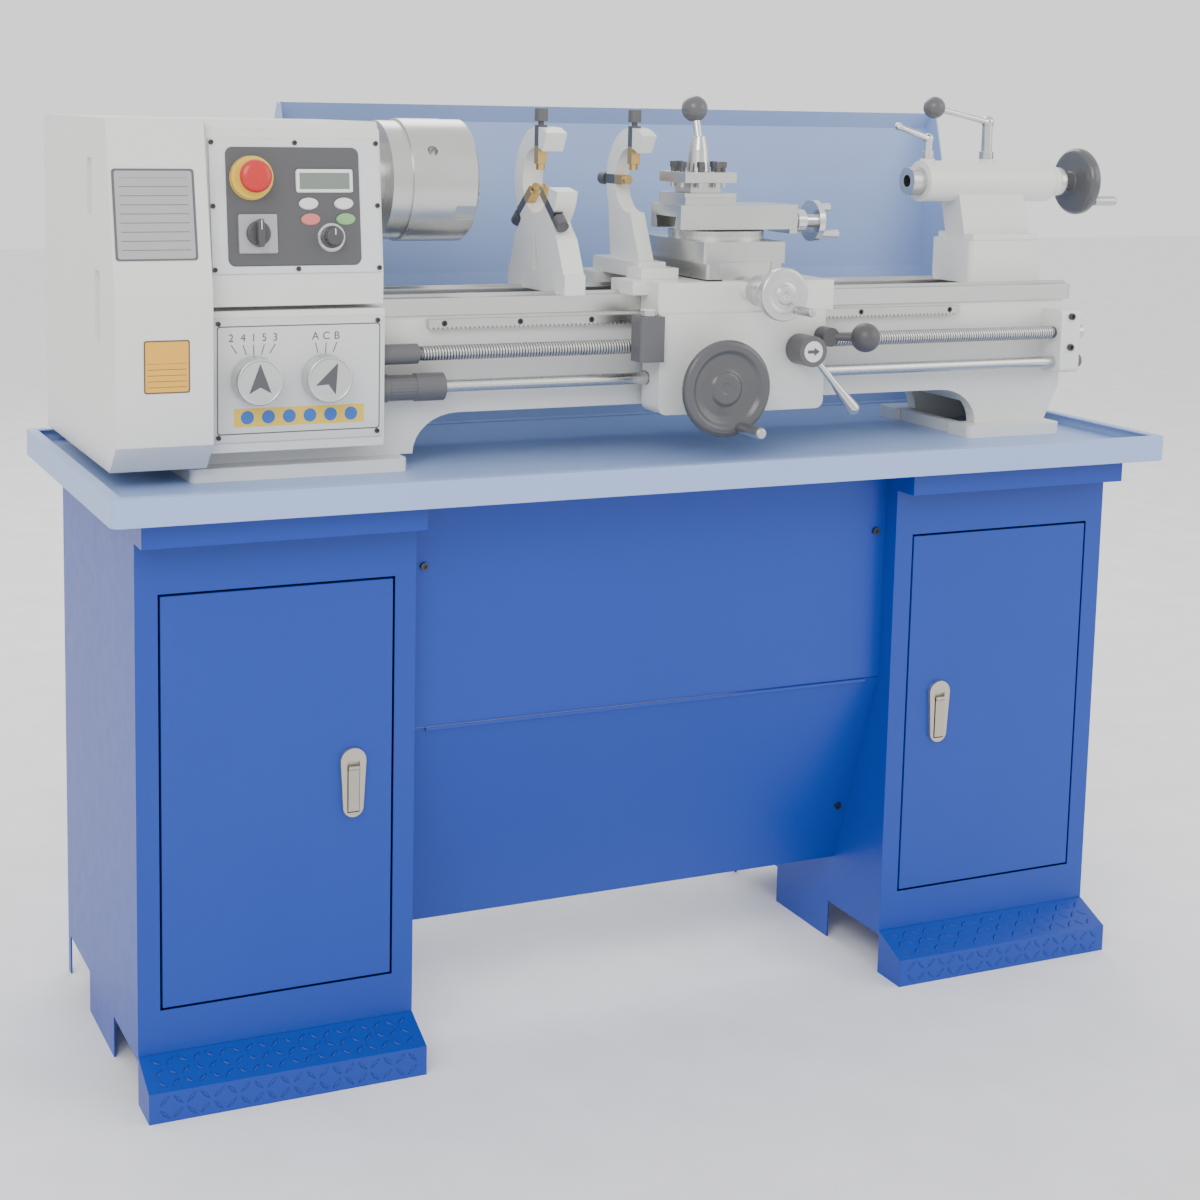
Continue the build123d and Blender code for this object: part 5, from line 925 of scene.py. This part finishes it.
spec_x, spec_z = flat(-669, 1070.5)
SPEC_FINISH = zoned("blank plate with rules", (rgb(178, 178, 180), 0.40, 0.5), [
    (both(plate((spec_x, spec_z), (0.041, 0.043), 0.001), ruled("z", 0.0, 0.0105, 0.10)),
     rgb(112, 112, 116), 0.45, 0.0),
    (outside(plate((spec_x, spec_z), (0.0460, 0.0510), 0.003)), rgb(92, 92, 96), 0.45, 0.0)])
slab_piece("cover_spec_plate", rectangle(0.049, 0.0545, 0.004), 0.0010, on_cover(-669, 1070.5), SPEC_FINISH,
           "gear_cover")
AMBER_FINISH = zoned("amber patch with grid", (rgb(236, 176, 62), 0.44, 0.0), [
    (both(plate(flat(-660.5, 880), (0.0235, 0.0165), 0.001), ruled("z", 0.0, 0.0070, 0.12)),
     rgb(120, 96, 60), 0.46, 0.0),
    (outside(plate(flat(-660.5, 892.5), (0.0258, 0.0298), 0.002)), rgb(96, 84, 62), 0.46, 0.0)])
slab_piece("cover_amber_patch", rectangle(0.0275, 0.0315, 0.003), 0.0006, on_cover(-660.5, 892.5),
           AMBER_FINISH, "gear_cover")
disc = np.column_stack([np.cos(turn_by), np.sin(turn_by)])
slab_piece("feed_hub_disc", disc * 0.0142, 0.0006, on_front(214, -188, 885), WHITE_PRINT, "feed_lever")
hub_arrow = np.array([(-0.009, -0.0022), (0.001, -0.0022), (0.001, -0.0058), (0.0095, 0.0), (0.001, 0.0058),
                      (0.001, 0.0022), (-0.009, 0.0022)])
slab_piece("feed_hub_arrow", hub_arrow, 0.0003, on_front(214, -188.6, 885), BLACK_PRINT, "feed_lever")
print("plates and patches made")

# %% [markdown]
# ## Diamond tread
# The foot of each cabinet is covered in raised lozenges that point alternately left and
# right. One lozenge has six corners: four round its foot and two along its crest. All of
# them are placed at once: each corner is turned by its own lozenge's angle and added to
# that lozenge's place on the slope or on the upright front.

# %% Tread lozenges
LOZENGE = np.array([(-0.0085, 0, 0), (0, -0.0024, 0), (0.0085, 0, 0), (0, 0.0024, 0),
                    (-0.0045, 0, 0.0009), (0.0045, 0, 0.0009)])
LOZENGE_FACES = np.array([(0, 1, 4), (4, 1, 5), (1, 2, 5), (2, 3, 5),
                          (5, 3, 4), (3, 0, 4), (0, 3, 1), (3, 2, 1)])
TREAD_PITCH = 0.0165
TREAD_TIP, TREAD_FRONT, KICK_TOP, SLOPE_TOP = -266.5, -211.5, 37.5, 61.0


def lozenges(across, height, to_world):
    """Rows and columns one pitch apart, turned by plus or minus 45 degrees like a chequer."""
    columns, rows = int(across / TREAD_PITCH), max(int(height / TREAD_PITCH), 1)
    column, row = np.meshgrid(np.arange(columns), np.arange(rows), indexing="ij")
    middle_u = (column - (columns - 1) / 2).ravel() * TREAD_PITCH
    middle_v = (row - (rows - 1) / 2).ravel() * TREAD_PITCH
    turn = np.where((column + row).ravel() % 2, 1, -1)[:, None] * np.pi / 4
    u = middle_u[:, None] + LOZENGE[:, 0] * np.cos(turn) - LOZENGE[:, 1] * np.sin(turn)
    v = middle_v[:, None] + LOZENGE[:, 0] * np.sin(turn) + LOZENGE[:, 1] * np.cos(turn)
    w = LOZENGE[:, 2] + 0 * u
    places = np.stack([u, v, w], -1).reshape(-1, 3)
    faces = (np.arange(len(middle_u))[:, None, None] * len(LOZENGE) + LOZENGE_FACES).reshape(-1, 3)
    return to_world(places), faces


for name, x in (("left", middle("left_cabinet")[0]), ("right", middle("right_cabinet")[0])):
    rise = math.atan2(SLOPE_TOP - KICK_TOP, TREAD_FRONT - TREAD_TIP)
    slope_length = math.hypot(SLOPE_TOP - KICK_TOP, TREAD_FRONT - TREAD_TIP) * MM
    slope_mid = at(0, (TREAD_TIP + TREAD_FRONT) / 2, (KICK_TOP + SLOPE_TOP) / 2) * (0, 1, 1) + (x, 0, 0)
    front_mid = at(0, TREAD_TIP, KICK_TOP / 2) * (0, 1, 1) + (x, 0, 0)
    along_slope, off_slope = (0, math.cos(rise), math.sin(rise)), (0, -math.sin(rise), math.cos(rise))
    slope = lozenges(0.340, slope_length - 0.004, lambda p: slope_mid + np.outer(p[:, 0], (1, 0, 0))
                     + np.outer(p[:, 1], along_slope) + np.outer(p[:, 2], off_slope))
    front = lozenges(0.340, KICK_TOP * MM,
                     lambda p: front_mid + np.column_stack([p[:, 0], -p[:, 2], p[:, 1]]))
    mesh_piece(f"{name}_tread_lozenges", *joined(slope, front), TREAD_BLUE, "machine", smooth=False,
               slot="stand_blue")
print("tread pitch", TREAD_PITCH)
